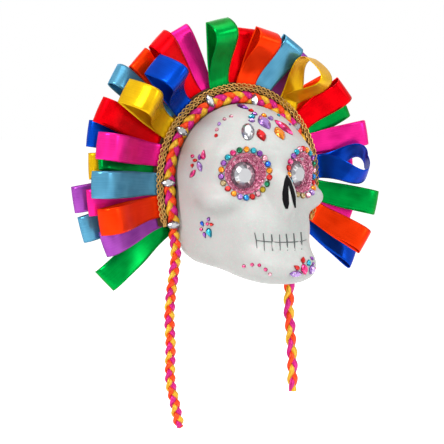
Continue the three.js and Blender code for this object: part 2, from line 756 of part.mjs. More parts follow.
// The saw-tooth hanger plate on the back of the board.
function hangerPlate() {
  const outline = new THREE.Shape();
  const half = hangerLength / 2;
  const toothedHalf = half * hangerToothedShare;
  const low = hangerMiddleZ - hangerHeight / 2;
  outline.moveTo(half, low);
  outline.lineTo(half, low + hangerHeight);
  outline.lineTo(-half, low + hangerHeight);
  outline.lineTo(-half, low);
  for (let i = 0; i <= 2 * hangerToothCount; i++) {
    const x = toothedHalf * (i / hangerToothCount - 1);
    outline.lineTo(x, low + (i % 2 === 1 ? hangerToothDepth : 0));
  }
  outline.closePath();
  const plate = new THREE.ExtrudeGeometry(outline, { depth: hangerThickness, bevelEnabled: false });
  plate.rotateX(Math.PI / 2);
  plate.translate(0, seat + hangerThickness - pocketDepth, 0);
  let solid = solidOf(plate);
  for (const side of [-1, 1]) {
    solid = solid.subtract(solidOf(nailHole(side)));
  }
  return geometryOfSolid(solid);
}

// One nail of the hanger, with its head behind the plate and its point in the board.
function hangerNail(side) {
  const headY = 2 * seat + hangerThickness - pocketDepth;
  const profile = [
    [0, -pocketDepth - nailGrip],
    [nailShankRadius, -pocketDepth - nailGrip + nailShankRadius],
    [nailShankRadius, headY],
    [nailHeadRadius, headY],
    [nailHeadRadius, headY + nailHeadHeight],
    [0, headY + nailHeadHeight],
  ].map(([radius, y]) => new THREE.Vector2(radius, y));
  const nail = new THREE.LatheGeometry(profile, tubeSideCount);
  nail.translate(side * hangerHolePitch / 2, 0, hangerMiddleZ);
  return nail;
}

// Thin glittered bowl that lines one eye socket, trimmed level with the skull.
function socketLining(side, outer) {
  const bowl = socketDish(side, -seat).subtract(socketDish(side, -seat - liningThickness));
  return geometryOfSolid(bowl.intersect(outer));
}

// A cut stone seated on a point with its table along a normal. The outline is an oval or, where point
// is 1, a marquise with two pointed ends.
function cutStone(seatPoint, normal, turn, halfWidth, halfLength, height, point, sides) {
  const up = new THREE.Vector3(0, 0, 1);
  const across = new THREE.Vector3().crossVectors(up, normal).normalize();
  const along = new THREE.Vector3().crossVectors(normal, across).normalize();
  const points = [];
  for (const [share, rise] of stoneCutShares) {
    for (let j = 0; j < sides; j++) {
      const angle = 2 * Math.PI * j / sides;
      const narrow = point === 1 ? Math.abs(Math.cos(angle)) ** marquisePower : 1;
      const u = share * halfWidth * Math.cos(angle) * narrow;
      const v = share * halfLength * Math.sin(angle);
      points.push(seatPoint.clone()
        .addScaledVector(across, u * Math.cos(turn) + v * Math.sin(turn))
        .addScaledVector(along, v * Math.cos(turn) - u * Math.sin(turn))
        .addScaledVector(normal, rise * height));
    }
  }
  points.push(seatPoint.clone().addScaledVector(normal, height));
  points.push(seatPoint.clone());
  const triangles = [
    ...wrappedGrid(stoneCutShares.length, sides, 0, false),
    ...fan((stoneCutShares.length - 1) * sides, sides, points.length - 2, false),
    ...fan(0, sides, points.length - 1, true),
  ];
  return geometryOf(points.map(place), flipped(triangles));
}

// Turns every triangle round.
function flipped(triangles) {
  return triangles.map(([a, b, c]) => [a, c, b]);
}

// The clear domed gem in one socket.
function eyeGem(side) {
  const eye = eyeFrame(side);
  const seatPoint = eye.centre.clone()
    .addScaledVector(eye.up, -gemDrop)
    .addScaledVector(eye.axis, -socketDepth + 3 * seat + liningThickness);
  return cutStone(seatPoint, eye.axis, 0, gemRadius, gemRadius, gemHeight, 0, gemSideCount);
}

// Seat of one stone of an eye's ring: its foot just clear of the skull, and the skull's normal there.
function ringSeat(eye, angle) {
  const u = ringRadius * Math.cos(angle);
  const v = ringRadius * Math.sin(angle);
  const foot = eye.centre.clone()
    .addScaledVector(eye.across, u)
    .addScaledVector(eye.up, v)
    .addScaledVector(eye.axis, skullOverEye(eye, u, v));
  const normal = skullNormal(foot.x, foot.y, foot.z);
  return { foot: foot.addScaledVector(normal, ringStoneLift), normal };
}

// The bead of glue that the stones of one ring sit in, as a closed strip through their feet.
function ringBead(eye, angles) {
  const points = [];
  for (const angle of angles) {
    const { foot, normal } = ringSeat(eye, angle);
    const outwards = foot.clone().sub(eye.centre).projectOnPlane(normal).normalize();
    for (const [edge, rise] of [[-1, 0], [1, 0], [1, 1], [-1, 1]]) {
      points.push(foot.clone()
        .addScaledVector(outwards, edge * ringBeadWidth / 2)
        .addScaledVector(normal, rise * ringBeadHeight));
    }
  }
  const sections = angles.length;
  const triangles = wrappedGrid(sections + 1, plyCornerCount, 0, true)
    .map((triangle) => triangle.map((index) => index % (sections * plyCornerCount)));
  return geometryOf(points.map(place), triangles);
}

// The stones round one socket, joined by their bead of glue.
function eyeRing(side) {
  const eye = eyeFrame(side);
  const angles = [];
  for (let i = 0; i < ringStoneCount; i++) {
    angles.push(2 * Math.PI * i / ringStoneCount);
  }
  let chain = solidOf(ringBead(eye, angles));
  for (const angle of angles) {
    const { foot, normal } = ringSeat(eye, angle);
    chain = chain.add(solidOf(cutStone(
      foot, normal, angle + Math.PI / 2,
      ringStoneRadius, ringStoneRadius, ringStoneHeight, 0, ringStoneSideCount,
    )));
  }
  return geometryOfSolid(chain);
}

// One stone of the forehead flower.
function foreheadStone(row) {
  const seatAt = skullInFront(row.place[0] * skullHalfWidth, row.place[1] * skullHeight);
  seatAt.point.addScaledVector(seatAt.normal, seat);
  return cutStone(
    seatAt.point, seatAt.normal, row.turnDeg * degrees,
    row.half[0] * ringStoneRadius, row.half[1] * ringStoneRadius,
    petalStoneHeight, row.point, petalSideCount,
  );
}

// One hanging braid as a plain round tube along its route.
function braidTail(route) {
  const path = new THREE.CatmullRomCurve3(route.map((p) => new THREE.Vector3(...p)));
  const section = new THREE.Shape();
  for (let i = 0; i < tubeSideCount; i++) {
    const angle = 2 * Math.PI * i / tubeSideCount;
    const x = tailDiameter / 2 * Math.cos(angle);
    const y = tailDiameter / 2 * Math.sin(angle);
    if (i === 0) {
      section.moveTo(x, y);
    } else {
      section.lineTo(x, y);
    }
  }
  section.closePath();
  const steps = Math.ceil(path.getLength() / (2 * tailDiameter));
  return new THREE.ExtrudeGeometry(section, { steps, extrudePath: path, bevelEnabled: false });
}

const skin = skullSkin(shellRingCount, shellColumnCount, 0);
const outerForm = skullForm(skin, 0);
const innerForm = skullForm(skullSkin(hollowRingCount, hollowColumnCount, shellWall), shellWall);
addPiece('skull_shell', skullShell(outerForm, innerForm), 'plaster');
addPiece('back_board', backBoard(skin), 'board');
addPiece('hanger_plate', hangerPlate(), 'steel');
addPiece('hanger_nail_right', hangerNail(-1), 'steel');
addPiece('hanger_nail_left', hangerNail(1), 'steel');

addPiece('headdress_band', archSolid([
  [bandInner, bandBackY],
  [bandOuter, bandBackY],
  [bandOuter, bandFrontY],
  [bandInner, bandFrontY],
]), 'felt');
addPiece('gold_trim', archSolid([
  [trimMiddle - trimWidth / 2, trimBackY],
  [trimMiddle + trimWidth / 2, trimBackY],
  [trimMiddle + trimWidth / 2, trimBackY - trimThickness * trimEdgeShare],
  [trimMiddle, trimBackY - trimThickness],
  [trimMiddle - trimWidth / 2, trimBackY - trimThickness * trimEdgeShare],
]), 'gold');
addPiece('crown_braid', archSolid([
  [braidMiddle - braidWidth / 2, frontRootY - braidCorner],
  [braidMiddle - braidWidth / 2 + braidCorner, frontRootY],
  [braidMiddle + braidWidth / 2 - braidCorner, frontRootY],
  [braidMiddle + braidWidth / 2, frontRootY - braidCorner],
  [braidMiddle + braidWidth / 2, frontRootY - braidThickness + braidCorner],
  [braidMiddle + braidWidth / 2 - braidCorner, frontRootY - braidThickness],
  [braidMiddle - braidWidth / 2 + braidCorner, frontRootY - braidThickness],
  [braidMiddle - braidWidth / 2, frontRootY - braidThickness + braidCorner],
]), 'braid');

for (const row of loopRows) {
  addPiece(`loop_${row.name}`, ribbonLoop(row), row.name.split('_')[0]);
}

for (const [side, label] of [[-1, 'right'], [1, 'left']]) {
  addPiece(`socket_lining_${label}`, socketLining(side, outerForm), 'glitter');
  addPiece(`eye_gem_${label}`, eyeGem(side), 'clear');
  addPiece(`eye_ring_${label}`, eyeRing(side), 'jewels');
}
for (const row of foreheadStoneShares) {
  addPiece(row.name, foreheadStone(row), row.name.split('_').at(-1));
}
addPiece('tail_right', braidTail(rightTailRoute), 'braid');
addPiece('tail_left', braidTail(leftTailRoute), 'braid');

export default part;
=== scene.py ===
"""Dresses a decorated wall skull: painted paper pulp, satin ribbon loops, plaited cord, gold gimp and stones.

Shapes are worked out in millimetres and turned to metres once, where a mesh is made. The wall is the plane
y = 0, the face looks towards -y, +z is up and x = 0 is the middle of the face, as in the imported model.
"""

import logging
import math
from dataclasses import dataclass, field
from enum import Enum
from typing import Callable, Optional, Sequence

import bpy
import numpy as np
from bpy.types import Material, Node, NodeSocket, NodeTree, Object
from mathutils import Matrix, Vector


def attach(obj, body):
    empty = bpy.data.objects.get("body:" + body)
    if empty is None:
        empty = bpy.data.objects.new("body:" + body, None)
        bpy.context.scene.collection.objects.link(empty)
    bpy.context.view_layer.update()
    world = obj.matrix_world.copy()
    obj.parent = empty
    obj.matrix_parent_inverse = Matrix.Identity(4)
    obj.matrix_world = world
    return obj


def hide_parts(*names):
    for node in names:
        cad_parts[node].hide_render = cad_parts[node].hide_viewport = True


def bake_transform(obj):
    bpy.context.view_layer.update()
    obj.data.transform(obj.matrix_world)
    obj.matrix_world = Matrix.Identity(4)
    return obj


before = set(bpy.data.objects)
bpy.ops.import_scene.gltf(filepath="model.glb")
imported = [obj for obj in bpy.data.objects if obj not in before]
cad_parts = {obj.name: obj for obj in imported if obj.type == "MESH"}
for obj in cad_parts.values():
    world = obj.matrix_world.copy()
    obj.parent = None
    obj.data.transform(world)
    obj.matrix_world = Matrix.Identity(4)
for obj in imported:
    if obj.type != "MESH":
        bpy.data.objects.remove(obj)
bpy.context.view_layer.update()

LOG = logging.getLogger("wall_skull")
MM = 0.001
FORWARD = np.array([0.0, -1.0, 0.0])
UPWARDS = np.array([0.0, 0.0, 1.0])


class Body(Enum):
    """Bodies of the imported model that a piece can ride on."""

    ROOT = "root"
    TAIL_RIGHT = "tail_right"
    TAIL_LEFT = "tail_left"


class Side(Enum):
    """Sides of the face, as the skull itself would name them, with their sign along x."""

    RIGHT = -1
    LEFT = 1

    @property
    def label(self) -> str:
        """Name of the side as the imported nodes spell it."""
        return self.name.lower()


def smooth(value: np.ndarray | float) -> np.ndarray | float:
    """Smooth step from 0 to 1, for numbers and arrays."""
    clamped = np.clip(value, 0.0, 1.0)
    return clamped * clamped * (3 - 2 * clamped)


def unit(vector: np.ndarray) -> np.ndarray:
    """The vector, or the last axis of an array of them, at length 1."""
    return vector / np.linalg.norm(vector, axis=-1, keepdims=True)


def towards(azimuth_deg: float, elevation_deg: float) -> np.ndarray:
    """Unit direction from the skull, by its angles from straight in front and from the level.

    Args:
        azimuth_deg: angle round the skull, positive towards +x.
        elevation_deg: angle over the level.

    Returns:
        The direction, in the model's axes.
    """
    azimuth, elevation = math.radians(azimuth_deg), math.radians(elevation_deg)
    level = math.cos(elevation)
    return np.array([math.sin(azimuth) * level, -math.cos(azimuth) * level, math.sin(elevation)])


def halve(low: np.ndarray, high: np.ndarray, held: Callable[[np.ndarray], np.ndarray],
          times: int) -> tuple[np.ndarray, np.ndarray]:
    """Closes in on the places where a test stops holding.

    Args:
        low: places where it holds.
        high: places where it doesn't.
        held: the test.
        times: how often each span is halved.

    Returns:
        The two ends of the last spans.
    """
    for _ in range(times):
        middle = (low + high) / 2
        holds = held(middle)
        low, high = np.where(holds, middle, low), np.where(holds, high, middle)
    return low, high


def linear(colour: str) -> tuple[float, float, float, float]:
    """Turns an sRGB hex colour to the linear colour that a shader takes.

    Args:
        colour: six hex digits with a leading hash.

    Returns:
        Red, green, blue and an alpha of 1.
    """
    channels = [int(colour[i:i + 2], 16) / 255 for i in (1, 3, 5)]
    curve = [c / 12.92 if c <= 0.04045 else ((c + 0.055) / 1.055) ** 2.4 for c in channels]
    return (*curve, 1.0)


def add_node(tree: NodeTree, kind: str, settings: Optional[dict] = None, links: Optional[dict] = None) -> Node:
    """Adds a node to a tree, with its settings, and fills its inputs.

    Args:
        tree: the shader or geometry tree.
        kind: the node's type name.
        settings: attributes of the node to set.
        links: inputs by name or index, each a value, an output socket, or a node for its first output.

    Returns:
        The new node.
    """
    node = tree.nodes.new(kind)
    for name, value in (settings or {}).items():
        setattr(node, name, value)
    for name, value in (links or {}).items():
        if isinstance(value, Node):
            value = value.outputs[0]
        if isinstance(value, NodeSocket):
            tree.links.new(value, node.inputs[name])
        else:
            node.inputs[name].default_value = value
    return node


def make_mesh(name: str, points: np.ndarray, faces: Sequence[Sequence[int]], materials: Sequence,
              face_materials: Optional[Sequence[int]] = None, uv: Optional[np.ndarray] = None,
              shade_smooth: bool = True) -> Object:
    """Makes a mesh object at the origin.

    Args:
        name: the piece's name.
        points: corners in millimetres.
        faces: corner numbers of each face.
        materials: the materials that the faces use.
        face_materials: number of each face's material, or nothing for the first.
        uv: one pair for each corner, written to each face that meets it.
        shade_smooth: whether the faces are shaded as one curved surface.

    Returns:
        The linked object.
    """
    mesh = bpy.data.meshes.new(name)
    mesh.from_pydata((np.asarray(points, float) * MM).tolist(), [], [list(f) for f in faces])
    for material in materials:
        mesh.materials.append(material)
    if face_materials is not None:
        mesh.polygons.foreach_set("material_index", np.asarray(face_materials, np.int32))
    if uv is not None:
        layer = mesh.uv_layers.new(name="weave")
        corners = np.zeros(len(mesh.loops), np.int32)
        mesh.loops.foreach_get("vertex_index", corners)
        layer.data.foreach_set("uv", np.asarray(uv, np.float32)[corners].ravel())
    mesh.polygons.foreach_set("use_smooth", [shade_smooth] * len(mesh.polygons))
    mesh.update()
    piece = bpy.data.objects.new(name, mesh)
    bpy.context.scene.collection.objects.link(piece)
    return piece


def grid_faces(rows: int, columns: int, wrapped: bool) -> list[tuple[int, int, int, int]]:
    """Quads of a grid of points.

    Args:
        rows: rows of points.
        columns: points in each row.
        wrapped: whether each row closes on itself.

    Returns:
        Corner numbers of each quad.
    """
    faces = []
    for i in range(rows - 1):
        for j in range(columns if wrapped else columns - 1):
            k = (j + 1) % columns
            faces.append((i * columns + j, i * columns + k, (i + 1) * columns + k, (i + 1) * columns + j))
    return faces


def flatten_modifiers(piece: Object) -> Object:
    """Turns a piece and its modifiers into one plain mesh on the same object's name.

    Args:
        piece: the object with live modifiers.

    Returns:
        The object that holds the plain mesh.
    """
    graph = bpy.context.evaluated_depsgraph_get()
    mesh = bpy.data.meshes.new_from_object(piece.evaluated_get(graph), depsgraph=graph)
    name = piece.name
    old = piece.data
    if piece.type == "MESH":
        piece.modifiers.clear()
        piece.data = mesh
        bpy.data.meshes.remove(old)
        return piece
    bpy.data.objects.remove(piece)
    solid = bpy.data.objects.new(name, mesh)
    bpy.context.scene.collection.objects.link(solid)
    return solid


def settle(piece: Object, body: Body, nodes: Sequence[str] = ()) -> Object:
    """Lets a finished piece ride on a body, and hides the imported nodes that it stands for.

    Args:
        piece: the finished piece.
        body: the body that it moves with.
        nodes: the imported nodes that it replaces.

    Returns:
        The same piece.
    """
    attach(piece, body.value)
    if nodes:
        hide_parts(*nodes)
    LOG.info("%s: %d faces", piece.name, len(piece.data.polygons))
    return piece


@dataclass(frozen=True)
class PhotoCamera:
    """The camera at the photograph's angle, whose picture has one pixel to the millimetre at the skull."""

    azimuth_deg: float = -30.0
    elevation_deg: float = 4.5
    distance: float = 1200.0
    picture: int = 444
    target: tuple[float, float, float] = (-18.2, -7.5, -43.9)
    sensor: float = 36.0

    def axes(self) -> tuple[np.ndarray, np.ndarray, np.ndarray]:
        """Works out the camera's own axes.

        Returns:
            Unit vectors to the right, up and back towards the camera.
        """
        azimuth = math.radians(self.azimuth_deg)
        right = np.array([math.cos(azimuth), math.sin(azimuth), 0.0])
        back = towards(self.azimuth_deg, self.elevation_deg)
        return right, np.cross(back, right), back

    def eye(self) -> np.ndarray:
        """Place of the lens."""
        return np.array(self.target) + self.distance * self.axes()[2]

    def directions(self, pixels: np.ndarray) -> np.ndarray:
        """Unit directions from the lens through pixels of the photograph.

        Args:
            pixels: pairs of pixel coordinates, from the upper left.

        Returns:
            One direction for each pair, in the model's axes.
        """
        right, up, back = self.axes()
        offsets = np.asarray(pixels, float) - self.picture / 2
        return unit(-back * self.distance + right * offsets[..., :1] - up * offsets[..., 1:])

    def make(self) -> None:
        """Adds the camera to the scene."""
        data = bpy.data.cameras.new("photo_camera")
        data.sensor_width = self.sensor
        data.lens = self.sensor * self.distance / self.picture
        data.clip_start = 0.01
        data.clip_end = 50.0
        camera = bpy.data.objects.new("photo_camera", data)
        camera.location = Vector(self.eye() * MM)
        camera.rotation_mode = "QUATERNION"
        camera.rotation_quaternion = Vector(-self.axes()[2]).to_track_quat("-Z", "Y")
        bpy.context.scene.collection.objects.link(camera)
        bpy.context.scene.camera = camera


class Finish:
    """A named finish, which makes its material once."""

    made: dict[str, Material] = {}

    def material(self) -> Material:
        """Makes the material at its first use, and keeps it.

        Returns:
            The finish's material.
        """
        if self.name not in Finish.made:
            material = bpy.data.materials.new(self.name)
            material.use_nodes = True
            tree = material.node_tree
            tree.nodes.clear()
            shader = add_node(tree, "ShaderNodeBsdfPrincipled", links=self.dress(tree))
            add_node(tree, "ShaderNodeOutputMaterial", links={"Surface": shader})
            Finish.made[self.name] = material
        return Finish.made[self.name]

    def dress(self, tree: NodeTree) -> dict:
        """Adds the finish's patterns.

        Args:
            tree: the material's nodes.

        Returns:
            The surface shader's inputs.
        """
        raise NotImplementedError


@dataclass(frozen=True)
class SatinRibbon(Finish):
    """Woven polyester satin ribbon: long floats that streak along its length and send light back in a band.

    The streaks are drawn wider than real floats, so that they show at the photograph's scale.
    """

    name: str
    colour: str
    shade: str
    streak_width: float = 0.9
    streak_run: float = 0.035
    drift_share: float = 0.55

    def dress(self, tree: NodeTree) -> dict:
        """Streaks follow the strip's own map, which runs across in u and along in v, in millimetres.

        Args:
            tree: the material's nodes.

        Returns:
            The surface shader's inputs.
        """
        uv = add_node(tree, "ShaderNodeUVMap", {"uv_map": "weave"})
        parts = add_node(tree, "ShaderNodeSeparateXYZ", links={0: uv})
        across = add_node(tree, "ShaderNodeMath", {"operation": "MULTIPLY"}, {0: parts, 1: 1 / self.streak_width})
        along = add_node(tree, "ShaderNodeMath", {"operation": "MULTIPLY"}, {0: parts.outputs[1], 1: self.streak_run})
        place = add_node(tree, "ShaderNodeCombineXYZ", links={0: across, 1: along})
        streaks = add_node(tree, "ShaderNodeTexNoise", links={"Vector": place, "Scale": 1.0, "Detail": 2.0})
        slow = add_node(tree, "ShaderNodeTexNoise", links={"Vector": uv, "Scale": 0.07, "Detail": 1.0})
        both = add_node(tree, "ShaderNodeMix", {"data_type": "FLOAT"}, {0: self.drift_share, 2: streaks, 3: slow})
        spread = add_node(tree, "ShaderNodeMapRange", links={
            "Value": both, "From Min": 0.3, "From Max": 0.6, "To Min": 0.3})
        # Painted shade: streaks along the ribbon and slow patches mix in the shade, for floats turned away from the
        # light.
        tone = add_node(tree, "ShaderNodeMix", {"data_type": "RGBA"}, {
            0: spread, 6: linear(self.shade), 7: linear(self.colour)})
        threads = add_node(tree, "ShaderNodeTexNoise", links={"Vector": place, "Scale": 2.5, "Detail": 3.0})
        bump = add_node(tree, "ShaderNodeBump", links={"Strength": 0.06, "Distance": 0.0003, "Height": threads})
        tangent = add_node(tree, "ShaderNodeTangent", {"direction_type": "UV_MAP", "uv_map": "weave"})
        return {
            "Base Color": tone.outputs[2], "Normal": bump, "Tangent": tangent, "Metallic": 0.55,
            "Roughness": 0.26, "Specular IOR Level": 0.35, "Specular Tint": linear(self.colour), "Anisotropic": 0.35,
        }


@dataclass(frozen=True)
class SatinStrand(Finish):
    """Soft satin strip folded into a strand, with creases that run along it and painted shade in their hollows."""

    name: str
    colour: str
    shade: str
    creases: float = 9.0
    crease_drift: float = 90.0

    def dress(self, tree: NodeTree) -> dict:
        """Creases repeat round the strand by its own attributes and drift slowly along it.

        Args:
            tree: the material's nodes.

        Returns:
            The surface shader's inputs.
        """
        around = add_node(tree, "ShaderNodeAttribute", {"attribute_name": "around"})
        along = add_node(tree, "ShaderNodeAttribute", {"attribute_name": "along"})
        turn = add_node(tree, "ShaderNodeMath", {"operation": "MULTIPLY"}, {0: around.outputs["Fac"], 1: self.creases})
        drift = add_node(tree, "ShaderNodeMath", {"operation": "MULTIPLY"}, {
            0: along.outputs["Fac"], 1: self.crease_drift})
        place = add_node(tree, "ShaderNodeCombineXYZ", links={0: turn, 1: drift})
        creases = add_node(tree, "ShaderNodeTexNoise", links={"Vector": place, "Scale": 1.0, "Detail": 3.0})
        spread = add_node(tree, "ShaderNodeMapRange", links={"Value": creases, "From Min": 0.35, "From Max": 0.62})
        # Painted shade: the colour goes to the shade where the creases' bump dips and to the full colour where it
        # rises.
        tone = add_node(tree, "ShaderNodeMix", {"data_type": "RGBA"}, {
            0: spread, 6: linear(self.shade), 7: linear(self.colour)})
        bump = add_node(tree, "ShaderNodeBump", links={"Strength": 0.55, "Distance": 0.0006, "Height": creases})
        return {
            "Base Color": tone.outputs[2], "Normal": bump, "Metallic": 0.3, "Roughness": 0.34,
            "Specular IOR Level": 0.3,
        }


@dataclass(frozen=True)
class TwistedGold(Finish):
    """Metallised gold foil gimp: painted shade in the grooves between wound turns, painted highlight on the crests."""

    name: str = "twisted_gold_gimp"
    colour: str = "#e6bd6c"
    shade: str = "#8a5a1f"
    turn_length: float = 1.5
    half_turn: float = 0.5
    foil_weight: float = 1.3

    def dress(self, tree: NodeTree) -> dict:
        """The wound turns are a slanted stripe of painted shade and highlight over the cord's own attributes.

        Args:
            tree: the material's nodes.

        Returns:
            The surface shader's inputs.
        """
        around = add_node(tree, "ShaderNodeAttribute", {"attribute_name": "around"})
        along = add_node(tree, "ShaderNodeAttribute", {"attribute_name": "along"})
        turns = add_node(tree, "ShaderNodeMath", {"operation": "MULTIPLY"},
                         {0: along.outputs["Fac"], 1: 1 / (self.turn_length * MM)})
        slant = add_node(tree, "ShaderNodeMath", {"operation": "ADD"}, {0: turns, 1: around.outputs["Fac"]})
        wave = add_node(tree, "ShaderNodeMath", {"operation": "PINGPONG"}, {0: slant, 1: self.half_turn})
        object_place = add_node(tree, "ShaderNodeTexCoord")
        wear = add_node(tree, "ShaderNodeTexNoise", links={
            "Vector": object_place.outputs["Object"], "Scale": 350.0, "Detail": 2.0})
        # Painted shade and highlight: the stripe darkens the colour where the bump dips and brightens it where it
        # rises; the wear noise varies it at random.
        mixed = add_node(tree, "ShaderNodeMath", {"operation": "MULTIPLY_ADD"}, {0: wave, 1: self.foil_weight, 2: wear})
        spread = add_node(tree, "ShaderNodeMapRange", links={"Value": mixed, "From Min": 0.5, "From Max": 1.05})
        tone = add_node(tree, "ShaderNodeMix", {"data_type": "RGBA"}, {
            0: spread, 6: linear(self.shade), 7: linear(self.colour)})
        bump = add_node(tree, "ShaderNodeBump", links={"Strength": 0.8, "Distance": 0.0003, "Height": wave})
        return {"Base Color": tone.outputs[2], "Normal": bump, "Metallic": 0.7, "Roughness": 0.3}


@dataclass(frozen=True)
class GlitterPaint(Finish):
    """White craft paint over paper pulp with fine iridescent glitter, so it reads as a soft, speckled white.

    A dark line of painted shade, for the shadow between skull and crown plait, runs near the rim and fades lower down.
    """

    name: str = "white_glitter_paint"
    colour: str = "#c6c7c4"
    shade: str = "#aeb1ae"
    fleck_pink: str = "#e0a9b8"
    fleck_green: str = "#a5d8c4"
    fleck_size: float = 1.1
    # Colour of the painted shade line near the rim, beside the crown plait.
    bare: str = "#4a483f"
    bare_reach: float = 17.2
    bare_feather: float = 0.8
    bare_end: float = -50.0
    bare_fade: float = 20.0

    def dress(self, tree: NodeTree) -> dict:
        """Flecks are cells of a real glitter size; few of them show a tint, as most lie away from the light.

        Args:
            tree: the material's nodes.

        Returns:
            The surface shader's inputs.
        """
        place = add_node(tree, "ShaderNodeTexCoord")
        clouds = add_node(tree, "ShaderNodeTexNoise", links={
            "Vector": place.outputs["Object"], "Scale": 45.0, "Detail": 4.0})
        base = add_node(tree, "ShaderNodeMix", {"data_type": "RGBA"}, {
            0: clouds, 6: linear(self.shade), 7: linear(self.colour)})
        cells = add_node(tree, "ShaderNodeTexVoronoi", links={
            "Vector": place.outputs["Object"], "Scale": 1 / (self.fleck_size * MM)})
        parts = add_node(tree, "ShaderNodeSeparateColor", links={0: cells.outputs["Color"]})
        tint = add_node(tree, "ShaderNodeMix", {"data_type": "RGBA"}, {
            0: parts.outputs[1], 6: linear(self.fleck_pink), 7: linear(self.fleck_green)})
        chosen = add_node(tree, "ShaderNodeMapRange", links={
            "Value": parts, "From Min": 0.5, "From Max": 0.95, "To Max": 0.5})
        tone = add_node(tree, "ShaderNodeMix", {"data_type": "RGBA"}, {
            0: chosen, 6: base.outputs[2], 7: tint.outputs[2]})
        # Painted shade: a dark line along the rim, for the shadow between skull and crown plait, faded out lower down.
        parted = add_node(tree, "ShaderNodeSeparateXYZ", links={0: place.outputs["Object"]})
        rim = add_node(tree, "ShaderNodeMapRange", links={
            "Value": parted.outputs[1], "From Min": -(self.bare_reach + self.bare_feather) * MM,
            "From Max": -self.bare_reach * MM, "To Max": 0.85})
        crown = add_node(tree, "ShaderNodeMapRange", links={
            "Value": parted.outputs[2], "From Min": self.bare_end * MM,
            "From Max": (self.bare_end + self.bare_fade) * MM})
        line = add_node(tree, "ShaderNodeMath", {"operation": "MULTIPLY"}, {0: rim, 1: crown})
        rim_shaded = add_node(tree, "ShaderNodeMix", {"data_type": "RGBA"}, {
            0: line, 6: tone.outputs[2], 7: linear(self.bare)})
        rough = add_node(tree, "ShaderNodeMapRange", links={"Value": parts.outputs[2], "To Min": 0.3, "To Max": 0.75})
        pulp = add_node(tree, "ShaderNodeTexNoise", links={
            "Vector": place.outputs["Object"], "Scale": 260.0, "Detail": 3.0})
        height = add_node(tree, "ShaderNodeMath", {"operation": "ADD"}, {0: pulp, 1: parts.outputs[2]})
        bump = add_node(tree, "ShaderNodeBump", links={"Strength": 0.25, "Distance": 0.0003, "Height": height})
        return {"Base Color": rim_shaded.outputs[2], "Roughness": rough, "Normal": bump}


@dataclass(frozen=True)
class FoilStone(Finish):
    """Cut acrylic stone with a foil back: each facet is painted its own reflection, under a hard clear gloss."""

    name: str
    colour: str
    # Darkest of the facets' painted reflections; the painted glint is the palest.
    dark: str
    spark: str = "#ffffff"
    spark_share: float = 0.85
    middle_at: float = 0.5

    def dress(self, tree: NodeTree) -> dict:
        """The facet's painted reflection goes from a dark one through the colour to a pale glint.

        Args:
            tree: the material's nodes.

        Returns:
            The surface shader's inputs.
        """
        # Painted reflection: each facet's tone picks its colour from a dark reflection through the stone's colour to a
        # pale glint.
        tone = add_node(tree, "ShaderNodeAttribute", {"attribute_name": "tone"})
        ramp = add_node(tree, "ShaderNodeValToRGB", links={0: tone.outputs["Fac"]})
        stops = ramp.color_ramp.elements
        stops[0].color, stops[1].color = linear(self.dark), linear(self.spark)
        stops.new(self.middle_at).color = linear(self.colour)
        blended = add_node(tree, "ShaderNodeMix", {"data_type": "RGBA"}, {
            0: self.spark_share, 6: linear(self.colour), 7: ramp})
        return {
            "Base Color": blended.outputs[2], "Metallic": 0.6, "Roughness": 0.14, "Specular IOR Level": 0.3,
            "Coat Weight": 0.25, "Coat Roughness": 0.04,
        }


@dataclass(frozen=True)
class PinkGlitter(Finish):
    """Coarse hexagonal craft glitter in pink foil; each flake lies at its own slant."""

    name: str
    metal: float
    colours: tuple[str, str, str] = ("#8f2c50", "#dc6f97", "#ffd9e6")
    middle_at: float = 0.55

    def dress(self, tree: NodeTree) -> dict:
        """Each flake takes its own tone, because each is its own island.

        Args:
            tree: the material's nodes.

        Returns:
            The surface shader's inputs.
        """
        geometry = add_node(tree, "ShaderNodeNewGeometry")
        ramp = add_node(tree, "ShaderNodeValToRGB", links={0: geometry.outputs["Random Per Island"]})
        stops = ramp.color_ramp.elements
        stops[0].color, stops[1].color = linear(self.colours[0]), linear(self.colours[2])
        stops.new(self.middle_at).color = linear(self.colours[1])
        return {"Base Color": ramp, "Metallic": self.metal, "Roughness": 0.3}


@dataclass(frozen=True)
class Speckled(Finish):
    """A plain body with fibres or grain in it: fibreboard, felt, brushed plate, paint or pencil."""

    name: str
    colour: str
    shade: str
    grain: float
    roughness: float
    metal: float = 0.0
    stretch: tuple[float, float, float] = (1.0, 1.0, 1.0)
    relief: float = 0.3
    gloss: float = 0.5

    def dress(self, tree: NodeTree) -> dict:
        """Grain of a real size in millimetres, drawn out along an axis where the fibres lie that way.

        Args:
            tree: the material's nodes.

        Returns:
            The surface shader's inputs.
        """
        place = add_node(tree, "ShaderNodeTexCoord")
        mapped = add_node(tree, "ShaderNodeMapping", links={"Vector": place.outputs["Object"], "Scale": self.stretch})
        grain = add_node(tree, "ShaderNodeTexNoise", links={
            "Vector": mapped, "Scale": 1 / (self.grain * MM), "Detail": 4.0, "Roughness": 0.65})
        spread = add_node(tree, "ShaderNodeMapRange", links={"Value": grain, "From Min": 0.35, "From Max": 0.65})
        tone = add_node(tree, "ShaderNodeMix", {"data_type": "RGBA"}, {
            0: spread, 6: linear(self.shade), 7: linear(self.colour)})
        bump = add_node(tree, "ShaderNodeBump", links={"Strength": self.relief, "Distance": 0.0004, "Height": grain})
        return {
            "Base Color": tone.outputs[2], "Normal": bump, "Roughness": self.roughness,
            "Metallic": self.metal, "Specular IOR Level": self.gloss,
        }


